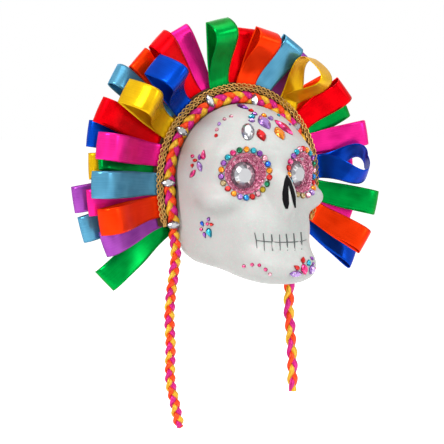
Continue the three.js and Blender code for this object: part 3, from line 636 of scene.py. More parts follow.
# Woven polyester satin in the shop's bright colours; the shade is painted shade, the same dye where a float turns away
# from the light.
RIBBONS = {colour: SatinRibbon(f"{colour}_satin_ribbon", *tones) for colour, tones in {
    "green": ("#009a3c", "#006c24"),
    "orange": ("#f2380a", "#cf2600"),
    "red": ("#e4030f", "#b30008"),
    "magenta": ("#ee2390", "#bf0c6c"),
    "purple": ("#a04aae", "#7c2c90"),
    "lilac": ("#b184d2", "#9060b8"),
    "sky": ("#5697b6", "#3a7596"),
    "royal": ("#0744b6", "#022c8c"),
    "yellow": ("#e2b414", "#bd8a06"),
}.items()}

# Soft satin strands of the plaits, folded small; their creases catch light in lines, with painted shade in the hollows.
STRANDS = {colour: SatinStrand(f"{colour}_satin_strand", *tones) for colour, tones in {
    "magenta": ("#e0218f", "#b00a62"),
    "orange": ("#ff5312", "#dd2f02"),
    "yellow": ("#efbe38", "#cf9410"),
}.items()}

# Cut acrylic stones with foil backs; the dark end and the pale glint are painted reflections of single facets.
STONES = {colour: FoilStone(f"{colour}_acrylic_stone", *tones) for colour, tones in {
    "clear": ("#a6a8ac", "#4e4d53"),
    "amber": ("#ee8a06", "#a34c00", "#ffd45c"),
    "royal": ("#0648c0", "#021c62", "#3f98f2"),
    "blush": ("#d78fa0", "#8e3c56", "#fbe6ec"),
    "purple": ("#7d3498", "#33094e", "#c990e6"),
    "teal": ("#0497ae", "#014e68", "#58dbe4"),
    "emerald": ("#056a40", "#012a18", "#30c088"),
    "pink": ("#d4206f", "#7e063c", "#ff9cc6"),
    "champagne": ("#ac925f", "#5f4c28", "#eadbb4"),
    "red": ("#cf0710", "#680004", "#ff6a5e"),
    "lilac": ("#a377c4", "#533070", "#efe0fa"),
    "blue": ("#0576ba", "#02356a", "#5cc6f0"),
    "olive": ("#b39512", "#5c5204", "#ecd460"),
}.items()}

GOLD = TwistedGold()
SKULL_PAINT = GlitterPaint()
LINING = PinkGlitter("pink_glitter_glue", 0.1, ("#8a2d4c", "#b04a6e", "#c96a8c"))
FLAKES = PinkGlitter("pink_glitter_flakes", 0.75)

# Craft acrylic paint brushed thin, so the dark is a little uneven.
NOSTRIL_PAINT = Speckled("black_brushed_paint", "#030304", "#141216", 1.2, 0.8, relief=0.4, gloss=0.1)

# Soft graphite line rubbed onto the paint.
PENCIL = Speckled("soft_pencil_line", "#424646", "#737776", 0.5, 0.8, relief=0.1, gloss=0.2)

# Medium density fibreboard, sawn: a felted brown with fine fibres.
FIBREBOARD = Speckled("sawn_fibreboard", "#b98f5e", "#9a7244", 0.7, 0.85)

# Zinc-plated pressed steel with faint rolling lines.
ZINC = Speckled("zinc_plated_steel", "#c3c6c9", "#a6a9ad", 0.5, 0.34, metal=1.0, stretch=(0.1, 1.0, 1.0), relief=0.08)

# Stiff craft felt, matted wool-like fibres, coloured dark brown as painted shade for the gaps of the gimp over it.
FELT = Speckled("stiff_craft_felt", "#5d4222", "#3c2912", 0.5, 0.95, relief=0.6)


@dataclass(frozen=True)
class Blob:
    """One rounded solid that blends into the skull, in x, forward and z."""

    centre: tuple[float, float, float]
    radii: tuple[float, float, float]
    power: float = 2.0
    tilt_deg: float = 0.0
    yaw_deg: float = 0.0
    taper: float = 0.0
    blend: float = 0.0

    def distance(self, points: np.ndarray) -> np.ndarray:
        """Signed size of the solid at points.

        Args:
            points: places in x, forward and z.

        Returns:
            About how far outside the solid each place lies, negative inside.
        """
        q = points - np.array(self.centre)
        yaw, tilt = math.radians(self.yaw_deg), math.radians(self.tilt_deg)
        x = q[..., 0] * math.cos(yaw) - q[..., 1] * math.sin(yaw)
        turned = q[..., 0] * math.sin(yaw) + q[..., 1] * math.cos(yaw)
        f = turned * math.cos(tilt) - q[..., 2] * math.sin(tilt)
        z = turned * math.sin(tilt) + q[..., 2] * math.cos(tilt)
        x = x / (1 - self.taper * np.clip(f / self.radii[1], -1, 1))
        shares = np.abs(np.stack([x, f, z], -1)) / np.array(self.radii)
        ordered = sorted(self.radii)
        return ((shares ** self.power).sum(-1) ** (1 / self.power) - 1) * (ordered[0] + ordered[1]) / 2


@dataclass
class Skull:
    """The paper pulp skull: blended rounded solids, a wall, and a dish pressed in for each eye."""

    blobs: tuple[Blob, ...] = (
        Blob((0, 0, 4), (74, 66, 70)),
        Blob((0, 34, 24), (49, 36, 24), blend=12),
        Blob((42, 37, -18), (26, 27, 15), blend=10),
        Blob((-42, 37, -18), (26, 27, 15), blend=10),
        Blob((0, 54, -10), (14, 44, 27), tilt_deg=20, blend=10),
        Blob((0, 42, -52), (42, 38, 30), power=2.4, blend=10),
        Blob((0, 0, -44), (70.5, 80, 43), power=3.2, tilt_deg=8, taper=0.48, blend=12),
        Blob((0, 64, -80), (36, 39, 18), power=2.4, tilt_deg=4, blend=18),
        Blob((27.1, 43.5, 7), (28, 16, 28), power=2.6, yaw_deg=14, blend=8),
        Blob((-27.1, 43.5, 7), (28, 16, 28), power=2.6, yaw_deg=-14, blend=8),
    )
    core: tuple[float, float, float] = (0.0, 20.0, -8.0)
    face_plane: float = -14.0
    rim_length: float = 8.7
    rim_inset: float = 2.0
    wall: float = 3.5
    eye_spacing: float = 31.0
    eye_forward: float = 59.0
    eye_height: float = 7.0
    eye_yaw_deg: float = 14.0
    socket_radius: float = 19.6
    socket_floor: float = 14.5
    socket_depth: float = 7.0
    socket_clearance: float = 0.7
    rings: int = 150
    columns: int = 240
    inner_stride: int = 6

    # Where each search on the skin starts and ends, and how often it halves its span.
    RAY_SPAN = (5.0, 170.0)
    RAY_HALVINGS = 26
    SIGHT_START = 260.0
    SIGHT_STEPS = 480
    SIGHT_HALVINGS = 20
    EYE_SPAN = 30.0
    EYE_HALVINGS = 24
    DROP_STEPS = 6
    DROP_SHARE = 0.8
    RIM_RISES = (-1.2, 0.6)
    RIM_HALVINGS = 22

    def field(self, points: np.ndarray) -> np.ndarray:
        """Signed size of the blended solids.

        Args:
            points: places in x, forward and z.

        Returns:
            About how far outside the skin each place lies, negative inside.
        """
        total = None
        for blob in self.blobs:
            distance = blob.distance(points)
            if total is None:
                total = distance
                continue
            mix = np.clip(0.5 + 0.5 * (total - distance) / blob.blend, 0, 1)
            total = total * (1 - mix) + distance * mix - blob.blend * mix * (1 - mix)
        return total

    def along(self, directions: np.ndarray) -> np.ndarray:
        """Points of the skin on rays from the core.

        Args:
            directions: unit directions of the rays.

        Returns:
            One point for each ray, in x, forward and z.
        """
        core = np.array(self.core)
        low, high = (np.full(directions.shape[:-1], end) for end in self.RAY_SPAN)
        low, _ = halve(low, high, lambda run: self.field(core + directions * run[..., None]) < 0, self.RAY_HALVINGS)
        return core + directions * low[..., None]

    def normals(self, points: np.ndarray, step: float = 0.4) -> np.ndarray:
        """Outward normals of the bare skin.

        Args:
            points: places in x, forward and z.
            step: how far apart the skin is felt.

        Returns:
            One unit normal for each place.
        """
        parts = []
        for axis in np.eye(3) * step:
            parts.append(self.field(points + axis) - self.field(points - axis))
        return unit(np.stack(parts, -1))

    def to_frame(self, points: np.ndarray) -> np.ndarray:
        """Turns x, forward and z into the model's axes."""
        return np.stack([points[..., 0], self.face_plane - points[..., 1], points[..., 2]], -1)

    def from_frame(self, points: np.ndarray) -> np.ndarray:
        """Turns the model's axes into x, forward and z, which is the same mirroring."""
        return self.to_frame(points)

    def seen_at(self, camera: PhotoCamera, pixels: np.ndarray) -> tuple[np.ndarray, np.ndarray]:
        """Points of the skin that the photograph shows at pixels.

        Args:
            camera: the photograph's camera.
            pixels: pairs of pixel coordinates.

        Returns:
            The points and their normals, in the model's axes.
        """
        eye, directions = camera.eye(), camera.directions(np.atleast_2d(pixels))
        near = np.full(len(directions), camera.distance - self.SIGHT_START)
        found = np.zeros(len(directions), bool)
        for _ in range(self.SIGHT_STEPS):
            found |= self.field(self.from_frame(eye + directions * near[:, None])) < 0
            near = np.where(found, near, near + 1.0)
        low, _ = halve(near - 1.0, near, lambda run: self.field(self.from_frame(eye + directions * run[:, None])) >= 0,
                       self.SIGHT_HALVINGS)
        points = eye + directions * low[:, None]
        normals = self.normals(self.from_frame(points))
        return points, np.stack([normals[:, 0], -normals[:, 1], normals[:, 2]], -1)

    def eye_frame(self, side: Side) -> tuple[np.ndarray, np.ndarray, np.ndarray, np.ndarray]:
        """Place and axes of an eye.

        Args:
            side: which eye.

        Returns:
            Its centre, outward axis, across and up, in x, forward and z.
        """
        yaw = math.radians(self.eye_yaw_deg)
        sign = side.value
        centre = np.array([sign * self.eye_spacing, self.eye_forward, self.eye_height])
        axis = np.array([sign * math.sin(yaw), math.cos(yaw), 0.0])
        across = np.array([math.cos(yaw), -sign * math.sin(yaw), 0.0])
        return centre, axis, across, UPWARDS

    def over_eye(self, side: Side, u: np.ndarray, v: np.ndarray) -> np.ndarray:
        """Points of the bare skin over an eye's plane.

        Args:
            side: which eye.
            u: places across the plane.
            v: places up the plane.

        Returns:
            One point for each place, in x, forward and z.
        """
        centre, axis, across, up = self.eye_frame(side)
        feet = centre + np.multiply.outer(u, across) + np.multiply.outer(v, up)
        high = np.full(u.shape, self.EYE_SPAN)
        low, _ = halve(-high, high, lambda run: self.field(feet + run[..., None] * axis) < 0, self.EYE_HALVINGS)
        return feet + low[..., None] * axis

    def drop(self, points: np.ndarray, normal: np.ndarray) -> np.ndarray:
        """Moves points along a normal onto the bare skin.

        Args:
            points: places in the model's axes.
            normal: the direction that they move along.

        Returns:
            The moved places.
        """
        for _ in range(self.DROP_STEPS):
            points = points - self.DROP_SHARE * np.multiply.outer(self.field(self.from_frame(points)), normal)
        return points

    def press_eyes(self, points: np.ndarray) -> np.ndarray:
        """Presses the two dishes into the skin.

        Args:
            points: skin points in x, forward and z.

        Returns:
            The points, pushed in where an eye's dish lies.
        """
        pressed = points.copy()
        for side in Side:
            centre, axis, _, _ = self.eye_frame(side)
            q = points - centre
            height = q @ axis
            radius = np.linalg.norm(q - height[..., None] * axis, axis=-1)
            inside = self.socket_radius + self.socket_clearance - radius
            share = smooth(inside / (self.socket_radius - self.socket_floor))
            push = np.where(height > -self.EYE_SPAN, (-self.socket_depth - height - self.socket_clearance) * share, 0)
            pressed = pressed + axis * push[..., None]
        return pressed

    def rise_directions(self, rises: np.ndarray) -> np.ndarray:
        """Unit directions for every column at the rise given for each ring and column."""
        turn = np.linspace(0, 2 * np.pi, self.columns, endpoint=False)
        return np.stack([np.cos(rises) * np.cos(turn), np.sin(rises) + 0 * turn, np.cos(rises) * np.sin(turn)], -1)

    def skin(self) -> np.ndarray:
        """Finds where the skin meets the face plane, and rings the skin from there.

        Returns:
            Rings of skin points from the face plane to just short of the front pole.
        """
        low, high = (np.full((1, self.columns), rise) for rise in self.RIM_RISES)
        _, high = halve(low, high, lambda rise: self.along(self.rise_directions(rise))[..., 1] < 0, self.RIM_HALVINGS)
        shares = np.arange(self.rings)[:, None] / self.rings
        return self.along(self.rise_directions(high + (np.pi / 2 - high) * shares))

    def build(self) -> None:
        """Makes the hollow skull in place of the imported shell."""
        outer = self.skin()
        rim = outer[0].copy()
        length = np.hypot(rim[:, 0], rim[:, 2])
        rim[:, [0, 2]] *= ((length - self.rim_inset) / length)[:, None]
        rim[:, 1] -= self.rim_length
        pole = self.along(np.array([[0.0, 1.0, 0.0]]))
        skin = self.press_eyes(np.concatenate([outer, np.repeat(pole[None], self.columns, 1)]))
        core = np.array(self.core)
        spokes = skin - core
        distance = np.linalg.norm(spokes, axis=-1, keepdims=True)
        inner = core + spokes * (distance - self.wall) / distance
        inner_rim = rim.copy()
        inner_rim[:, [0, 2]] *= ((length - self.rim_inset - self.wall) / length)[:, None]
        rows = [*inner[:-1:self.inner_stride][::-1], inner_rim, rim, *skin[:-1]]
        points = np.concatenate([*rows, inner[-1, :1], skin[-1, :1]])
        faces = grid_faces(len(rows), self.columns, True)
        first, last = len(points) - 2, len(points) - 1
        start = (len(rows) - 1) * self.columns
        for j in range(self.columns):
            k = (j + 1) % self.columns
            faces.append((first, k, j))
            faces.append((start + j, start + k, last))
        frame_points = self.to_frame(points)
        skull = make_mesh("painted_skull", frame_points, faces, [SKULL_PAINT.material()])
        face_out(skull)
        settle(skull, Body.ROOT, ["skull_shell"])


def face_out(piece: Object) -> None:
    """Turns a closed mesh's faces outwards, by the sign of its volume.

    Args:
        piece: the object with the closed mesh.
    """
    mesh = piece.data
    mesh.calc_loop_triangles()
    corners = np.zeros(len(mesh.vertices) * 3)
    mesh.vertices.foreach_get("co", corners)
    corners = corners.reshape(-1, 3)
    triangles = np.zeros(len(mesh.loop_triangles) * 3, np.int32)
    mesh.loop_triangles.foreach_get("vertices", triangles)
    a, b, c = (corners[triangles.reshape(-1, 3)[:, i]] for i in range(3))
    if np.einsum("ij,ij->i", a, np.cross(b, c)).sum() < 0:
        mesh.flip_normals()


@dataclass(frozen=True)
class Arch:
    """The headdress arch: half an ellipse over the skull, stretched below, ending level at both sides."""

    side: float = 74.0
    top: float = 73.87
    lower_stretch: float = 42.0
    end_drop: float = 45.5

    def halves(self, offset: float, lower: bool) -> tuple[float, float]:
        """Half width and half height at an offset outwards, in the upper or lower half."""
        rise = self.top + offset
        return self.side + offset, rise + self.lower_stretch if lower else rise

    def point(self, angle_deg: float, offset: float, depth: float) -> np.ndarray:
        """Point of the arch at an angle.

        Args:
            angle_deg: the angle seen from the arch's centre.
            offset: how far outside the skull it runs.
            depth: its place along y.

        Returns:
            The point, in the model's axes.
        """
        angle = math.radians(angle_deg)
        side, rise = self.halves(offset, math.sin(angle) < 0)
        radius = 1 / math.hypot(math.cos(angle) / side, math.sin(angle) / rise)
        return np.array([radius * math.cos(angle), depth, radius * math.sin(angle)])

    def line(self, offset: float, depth: float, steps: int = 220) -> np.ndarray:
        """Line along the arch.

        Args:
            offset: how far outside the skull it runs.
            depth: its place along y.
            steps: how many steps it is cut into.

        Returns:
            Points from the left end over the top to the right end.
        """
        side, low = self.halves(offset, True)
        high = self.halves(offset, False)[1]
        end = -math.asin(self.end_drop / low)
        turns = end + (math.pi - 2 * end) * np.arange(steps + 1) / steps
        rises = np.where(np.sin(turns) < 0, low, high)
        return np.stack([side * np.cos(turns), np.full(len(turns), depth), rises * np.sin(turns)], -1)


@dataclass(frozen=True)
class Layer:
    """One layer of loops: how deep and how far out their roots lie, and how they rise and open."""

    depth: float
    offset: float
    lift_deg: float
    opening: float


class Lay(Enum):
    """The layers of loops, from the board outwards."""

    BACK = Layer(-5.3, 8.3, 0.0, 6.0)
    MIDDLE = Layer(-6.9, 8.3, 11.0, 8.0)
    FRONT = Layer(-10.3, 15.5, 20.0, 15.0)
    WIDE = Layer(-10.3, 15.5, 23.0, 30.0)


@dataclass(frozen=True)
class RibbonLoop:
    """One satin ribbon loop: a strip that leaves its root, turns over at the tip and comes back."""

    name: str
    lay: Lay
    root_deg: float
    tip_deg: float
    reach_share: float
    open_share: float = 1.0
    twist_deg: float = 0.0
    root_width: float = 22.0
    rise: float = 2.0

    REACH = 90.0
    WIDTH = 25.0
    THICKNESS = 0.4
    ROOT_STACK = 1.3
    GRIP_END = 24.5
    GRIP_ROWS = (-1.0, -0.5)
    FALL = 3.0
    FULL_TWIST_AT = 0.9
    FULL_WIDTH_AT = 0.5
    RIPPLE = 0.8
    RIPPLE_WAVES = 0.9
    RIPPLE_LAG = 0.25
    RIPPLE_SEEDS = (7.3, 3.1)
    WALL_OFFSET = 0.4
    CROWN = 0.9
    STEPS = 22
    CROSS = 10

    @property
    def colour(self) -> str:
        """Name of the ribbon's colour, which its own name starts with."""
        return self.name.split("_")[0]

    def swell(self, share: float) -> float:
        """Opening of the loop along its length.

        Args:
            share: place between the root and the tip, from 0 to 1.

        Returns:
            The opening there, as a share of the widest.
        """
        widest_at = (self.rise / (self.rise + self.FALL / 2)) ** (1 / self.FALL)
        here, widest = (at ** self.rise * math.sqrt(max(1 - at ** self.FALL, 0.0)) for at in (share, widest_at))
        return here / widest

    def strip(self, arch: Arch) -> tuple[np.ndarray, float]:
        """Lays the strip from its root round the tip and back.

        Args:
            arch: the arch that the root stands on.

        Returns:
            Its points, in rows along it and columns across, and its length.
        """
        layer = self.lay.value
        root = arch.point(self.root_deg, layer.offset, layer.depth)
        tip = arch.point(self.tip_deg, 0.0, layer.depth)
        distance = math.hypot(tip[0], tip[2])
        tip[[0, 2]] *= (distance + self.REACH * self.reach_share) / distance
        flat = tip - root
        grip = self.GRIP_END - layer.offset
        free = np.linalg.norm(flat) - grip
        flat = unit(flat)
        across = unit(np.cross(flat, FORWARD))
        lift = math.radians(layer.lift_deg)
        rising = flat * math.cos(lift) + FORWARD * math.sin(lift)
        facing = FORWARD * math.cos(lift) - flat * math.sin(lift)
        opening = layer.opening * self.open_share
        shares = np.concatenate([self.GRIP_ROWS, np.sin(np.pi / 2 * np.arange(self.STEPS + 1) / self.STEPS)])
        sides = np.concatenate([-np.ones(len(shares)), np.ones(len(shares) - 1)])
        shares = np.concatenate([shares, shares[:-1][::-1]])
        sides[len(shares) // 2] = 0
        columns = np.linspace(-1, 1, self.CROSS + 1)
        phase = (self.root_deg * self.RIPPLE_SEEDS[0] + self.tip_deg * self.RIPPLE_SEEDS[1]) % (2 * math.pi)
        rows = []
        for share, side in zip(shares, sides):
            free_share = max(share, 0.0)
            half = opening / 2 * self.swell(free_share)
            twist = math.radians(self.twist_deg) * smooth(free_share / self.FULL_TWIST_AT)
            outwards = facing * math.cos(twist) + across * math.sin(twist)
            widthways = across * math.cos(twist) - facing * math.sin(twist)
            widened = float(smooth(free_share / self.FULL_WIDTH_AT))
            width = self.root_width + (self.WIDTH - self.root_width) * widened
            centre = root + flat * grip * (1 + min(share, 0.0)) + rising * free * free_share
            centre = centre + facing * (half + self.ROOT_STACK / 2)
            waves = math.sin(2 * math.pi * (self.RIPPLE_WAVES * free_share + phase + self.RIPPLE_LAG * side))
            ripple = self.RIPPLE * waves * free_share * (1 - free_share) * 4
            offset = side * (half + self.WALL_OFFSET) + ripple * (0.5 if abs(side) > 0 else 0)
            crown = self.CROWN * (1 - columns ** 2) * free_share * side
            rows.append(centre
                        + np.multiply.outer(offset + crown, outwards)
                        + np.multiply.outer(columns * width / 2, widthways))
        points = np.array(rows)
        middle = points[:, self.CROSS // 2]
        length = float(np.linalg.norm(np.diff(middle, axis=0), axis=1).sum())
        return points, length

    def build(self, arch: Arch) -> None:
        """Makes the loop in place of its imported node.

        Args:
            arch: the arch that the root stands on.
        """
        points, length = self.strip(arch)
        rows, columns = points.shape[:2]
        middle = points[:, columns // 2]
        along = np.concatenate([[0], np.cumsum(np.linalg.norm(np.diff(middle, axis=0), axis=1))])
        across = np.linspace(-self.WIDTH / 2, self.WIDTH / 2, columns)
        uv = np.stack([np.tile(across, rows), np.repeat(along, columns)], -1)
        faces = grid_faces(rows, columns, False)
        loop = make_mesh(f"ribbon_{self.name}", points.reshape(-1, 3), faces, [RIBBONS[self.colour].material()], uv=uv)
        wall = loop.modifiers.new("thickness", "SOLIDIFY")
        wall.thickness = self.THICKNESS * MM
        wall.offset = 0.0
        loop = flatten_modifiers(loop)
        face_out(loop)
        settle(loop, Body.ROOT, [f"loop_{self.name}"])


# Loops from the lower left round to the lower right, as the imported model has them.
LOOPS = (
    RibbonLoop("green_1", Lay.BACK, 208, 213, 1.04, twist_deg=25),
    RibbonLoop("purple_1", Lay.MIDDLE, 202, 201, 0.99),
    RibbonLoop("orange_1", Lay.FRONT, 196, 192.5, 1.09),
    RibbonLoop("sky_1", Lay.BACK, 195, 195, 1.12),
    RibbonLoop("magenta_1", Lay.MIDDLE, 187, 186.5, 1.09, open_share=0.8),
    RibbonLoop("sky_2", Lay.FRONT, 182.5, 180.5, 1.15, open_share=0.9),
    RibbonLoop("purple_2", Lay.BACK, 182, 185.5, 1.16),
    RibbonLoop("green_2", Lay.MIDDLE, 172, 171.5, 0.96, open_share=0.7, twist_deg=16),
    RibbonLoop("yellow_1", Lay.BACK, 169, 175, 0.98),
    RibbonLoop("magenta_2", Lay.FRONT, 165, 168.5, 1.12),
    RibbonLoop("royal_1", Lay.BACK, 156.5, 164.5, 1.05),
    RibbonLoop("red_1", Lay.MIDDLE, 155, 157, 1.11, open_share=1.2, twist_deg=-8),
    RibbonLoop("yellow_2", Lay.WIDE, 148, 149, 1.06),
    RibbonLoop("sky_3", Lay.BACK, 144, 143.5, 1.06, open_share=1.6, twist_deg=20),
    RibbonLoop("royal_2", Lay.WIDE, 132, 135, 0.95),
    RibbonLoop("orange_2", Lay.BACK, 130, 133.5, 0.97),
    RibbonLoop("red_2", Lay.MIDDLE, 121, 126, 1.04, open_share=1.25, twist_deg=10),
    RibbonLoop("magenta_3", Lay.BACK, 112, 115.5, 0.96),
    RibbonLoop("green_3", Lay.FRONT, 104, 104, 0.98, open_share=1.2),
    RibbonLoop("lilac_1", Lay.BACK, 96, 92, 0.73),
    RibbonLoop("red_3", Lay.MIDDLE, 93, 90, 0.84, open_share=0.8),
    RibbonLoop("orange_3", Lay.FRONT, 86, 82, 0.86),
    RibbonLoop("sky_4", Lay.MIDDLE, 75.5, 67, 0.85, open_share=1.2),
    RibbonLoop("purple_3", Lay.BACK, 65, 61, 0.84),
    RibbonLoop("orange_4", Lay.BACK, 53, 41, 0.76),
    RibbonLoop("yellow_3", Lay.WIDE, 51, 59.5, 0.78, open_share=1.15, twist_deg=32, rise=1.1),
    RibbonLoop("red_4", Lay.FRONT, 37, 39, 0.85, open_share=0.8),
    RibbonLoop("green_4", Lay.BACK, 30, 29.5, 0.86),
    RibbonLoop("magenta_4", Lay.MIDDLE, 22, 17, 0.93, open_share=1.4),
    RibbonLoop("royal_3", Lay.WIDE, 6, 6, 0.82, open_share=1.1, twist_deg=55, rise=0.8, root_width=25),
    RibbonLoop("magenta_5", Lay.BACK, 9, 7.5, 0.75),
    RibbonLoop("green_5", Lay.MIDDLE, -8, -10.5, 1.02, open_share=1.4),
    RibbonLoop("magenta_6", Lay.BACK, -10, -15.5, 0.79, open_share=0.8),
    RibbonLoop("orange_5", Lay.FRONT, -21, -27, 0.91, open_share=0.8),
    RibbonLoop("royal_4", Lay.BACK, -26, -32, 0.98, twist_deg=-20),
)


@dataclass(frozen=True)
class Cord:
    """One wavy cord of a woven trim, as shares of the trim's sizes."""

    finish: Finish
    phase_deg: float
    row_share: float = 0.0


class WaveTree:
    """Geometry tree that lays wavy cords along a line, as plaits and gimps do."""

    END_SWAY = 0.35
    CORD_CORNERS = 10

    def __init__(self, name: str, cords: Sequence[Cord], crossings: int) -> None:
        """Builds the tree.

        Args:
            name: the tree's name.
            cords: the cords of the trim.
            crossings: how often a cord dives for each time it sways, 2 in a plait and 1 in a gimp.
        """
        self.tree = bpy.data.node_groups.new(name, "GeometryNodeTree")
        self.crossings = crossings
        face = self.tree.interface
        face.new_socket("Line", in_out="INPUT", socket_type="NodeSocketGeometry")
        self.sockets = {}
        for label in ("Pitch", "Sway", "Dive", "Row Spacing", "Cord Width", "Cord Thickness", "End Length", "Step"):
            self.sockets[label] = face.new_socket(label, in_out="INPUT", socket_type="NodeSocketFloat").identifier
        face.new_socket("Trim", in_out="OUTPUT", socket_type="NodeSocketGeometry")
        self.entry = self.tree.nodes.new("NodeGroupInput")
        join = self.tree.nodes.new("GeometryNodeJoinGeometry")
        for cord in cords:
            self.tree.links.new(self.lay_cord(cord), join.inputs[0])
        real = add_node(self.tree, "GeometryNodeRealizeInstances", links={0: join})
        add_node(self.tree, "NodeGroupOutput", links={0: real})

    def lay_cord(self, cord: Cord) -> NodeSocket:
        """Adds the nodes of one cord.

        Args:
            cord: the cord.

        Returns:
            The output that gives its finished mesh.
        """
        tree, sizes = self.tree, self.entry.outputs
        fine = add_node(tree, "GeometryNodeResampleCurve", {"mode": "LENGTH"}, {
            "Curve": sizes["Line"], "Length": sizes["Step"]})
        run = add_node(tree, "GeometryNodeSplineParameter").outputs["Length"]
        whole = add_node(tree, "GeometryNodeSplineLength").outputs["Length"]
        left = add_node(tree, "ShaderNodeMath", {"operation": "SUBTRACT"}, {0: whole, 1: run})
        near_end = add_node(tree, "ShaderNodeMath", {"operation": "MINIMUM"}, {0: run, 1: left})
        fade = add_node(tree, "ShaderNodeMapRange", {"interpolation_type": "SMOOTHSTEP"}, {
            "Value": near_end, "From Max": sizes["End Length"], "To Min": self.END_SWAY})
        turns = add_node(tree, "ShaderNodeMath", {"operation": "DIVIDE"}, {0: run, 1: sizes["Pitch"]})
        angle = add_node(tree, "ShaderNodeMath", {"operation": "MULTIPLY_ADD"}, {
            0: turns, 1: 2 * math.pi, 2: math.radians(cord.phase_deg)})
        wave = add_node(tree, "ShaderNodeMath", {"operation": "SINE"}, {0: angle})
        sway = add_node(tree, "ShaderNodeMath", {"operation": "MULTIPLY"}, {0: wave, 1: sizes["Sway"]})
        row = add_node(tree, "ShaderNodeMath", {"operation": "MULTIPLY"}, {0: sizes["Row Spacing"], 1: cord.row_share})
        beside = add_node(tree, "ShaderNodeMath", {"operation": "ADD"}, {0: sway, 1: row})
        aside = add_node(tree, "ShaderNodeMath", {"operation": "MULTIPLY"}, {0: beside, 1: fade})
        if self.crossings == 1:
            deep_angle = add_node(tree, "ShaderNodeMath", {"operation": "ADD"}, {0: angle, 1: math.pi / 2})
        else:
            deep_angle = add_node(tree, "ShaderNodeMath", {"operation": "MULTIPLY"}, {
                0: angle, 1: float(self.crossings)})
        deep_wave = add_node(tree, "ShaderNodeMath", {"operation": "SINE"}, {0: deep_angle})
        dive = add_node(tree, "ShaderNodeMath", {"operation": "MULTIPLY"}, {0: deep_wave, 1: sizes["Dive"]})
        tangent = add_node(tree, "GeometryNodeInputTangent")
        square = add_node(tree, "ShaderNodeVectorMath", {"operation": "CROSS_PRODUCT"}, {0: tangent, 1: tuple(FORWARD)})
        across = add_node(tree, "ShaderNodeVectorMath", {"operation": "NORMALIZE"}, {0: square})
        side_shift = add_node(tree, "ShaderNodeVectorMath", {"operation": "SCALE"}, {0: across, "Scale": aside})
        deep_shift = add_node(tree, "ShaderNodeVectorMath", {"operation": "SCALE"}, {0: tuple(FORWARD), "Scale": dive})
        shift = add_node(tree, "ShaderNodeVectorMath", {"operation": "ADD"}, {0: side_shift, 1: deep_shift})
        placed = add_node(tree, "GeometryNodeSetPosition", links={"Geometry": fine, "Offset": shift})
        turned = add_node(tree, "GeometryNodeSetCurveNormal", {"mode": "FREE"}, {
            "Curve": placed, "Normal": tuple(FORWARD)})
        named = add_node(tree, "GeometryNodeStoreNamedAttribute", {"data_type": "FLOAT", "domain": "POINT"}, {
            "Geometry": turned, "Name": "along", "Value": run})
        ring = add_node(tree, "GeometryNodeCurvePrimitiveCircle", links={
            "Resolution": self.CORD_CORNERS, "Radius": 0.5})
        stretch = add_node(tree, "ShaderNodeCombineXYZ", links={
            0: sizes["Cord Thickness"], 1: sizes["Cord Width"], 2: 1.0})
        oval = add_node(tree, "GeometryNodeTransform", links={"Geometry": ring, "Scale": stretch})
        round_share = add_node(tree, "GeometryNodeSplineParameter").outputs["Factor"]
        rim = add_node(tree, "GeometryNodeStoreNamedAttribute", {"data_type": "FLOAT", "domain": "POINT"}, {
            "Geometry": oval, "Name": "around", "Value": round_share})
        solid = add_node(tree, "GeometryNodeCurveToMesh", links={
            "Curve": named, "Profile Curve": rim, "Fill Caps": True})
        even = add_node(tree, "GeometryNodeSetShadeSmooth", links={"Geometry": solid})
        return add_node(tree, "GeometryNodeSetMaterial", links={
            "Geometry": even, "Material": cord.finish.material()}).outputs[0]


@dataclass(frozen=True)
class WovenTrim:
    """A trim of wavy cords that follows a line: the crown braid, the gimp or a hanging braid."""

    name: str
    tree: WaveTree
    pitch: float
    sway: float
    dive: float
    cord_width: float
    cord_thickness: float
    row_spacing: float = 0.0
    end_length: float = 0.1
    step: float = 0.9

    def make(self, line: np.ndarray) -> Object:
        """Lays the trim along a line.

        Args:
            line: points in millimetres.

        Returns:
            The object that holds the trim's plain mesh.
        """
        data = bpy.data.curves.new(self.name, "CURVE")
        data.dimensions = "3D"
        spline = data.splines.new("POLY")
        spline.points.add(len(line) - 1)
        flat = np.concatenate([line * MM, np.ones((len(line), 1))], 1)
        spline.points.foreach_set("co", flat.ravel())
        piece = bpy.data.objects.new(self.name, data)
        bpy.context.scene.collection.objects.link(piece)
        weave = piece.modifiers.new("weave", "NODES")
        weave.node_group = self.tree.tree
        for label, size in {
            "Pitch": self.pitch, "Sway": self.sway, "Dive": self.dive, "Row Spacing": self.row_spacing,
            "Cord Width": self.cord_width, "Cord Thickness": self.cord_thickness,
            "End Length": self.end_length, "Step": self.step,
        }.items():
            weave[self.tree.sockets[label]] = size * MM
        return flatten_modifiers(piece)


# Routes of the hanging braids, in millimetres, as the imported model has them.
RIGHT_TAIL_ROUTE = (
    (-75.6, -13.3, -45.8), (-75.6, -13.7, -55), (-75.8, -17.2, -65), (-76, -17.8, -76),
    (-76.6, -15.8, -87), (-77.4, -14.6, -98), (-79.2, -14.4, -109), (-80.6, -14.4, -121),
    (-81.4, -14.5, -134), (-81, -14.6, -147), (-80.2, -14.6, -160), (-80.5, -14.5, -173),
    (-80.8, -14.4, -186), (-80.4, -14.4, -199), (-77.8, -14.5, -211), (-75.4, -14.6, -222),
    (-73.2, -14.7, -233), (-70.4, -14.8, -244),
)
LEFT_TAIL_ROUTE = (
    (75.6, -13.3, -45.8), (75.5, -13.4, -55), (74.8, -13.5, -65), (72.8, -13.5, -75),
    (69.2, -13.4, -85), (64.6, -13.3, -94), (60.8, -13.2, -103), (58.8, -13.1, -113),
    (58.7, -13, -124), (58, -13, -134), (59, -13, -144), (60.2, -13, -154),
    (60.9, -13, -165), (61.9, -13, -176), (63, -13, -187), (63.2, -13, -198),
    (63.3, -13, -210), (63.3, -13, -223),
)


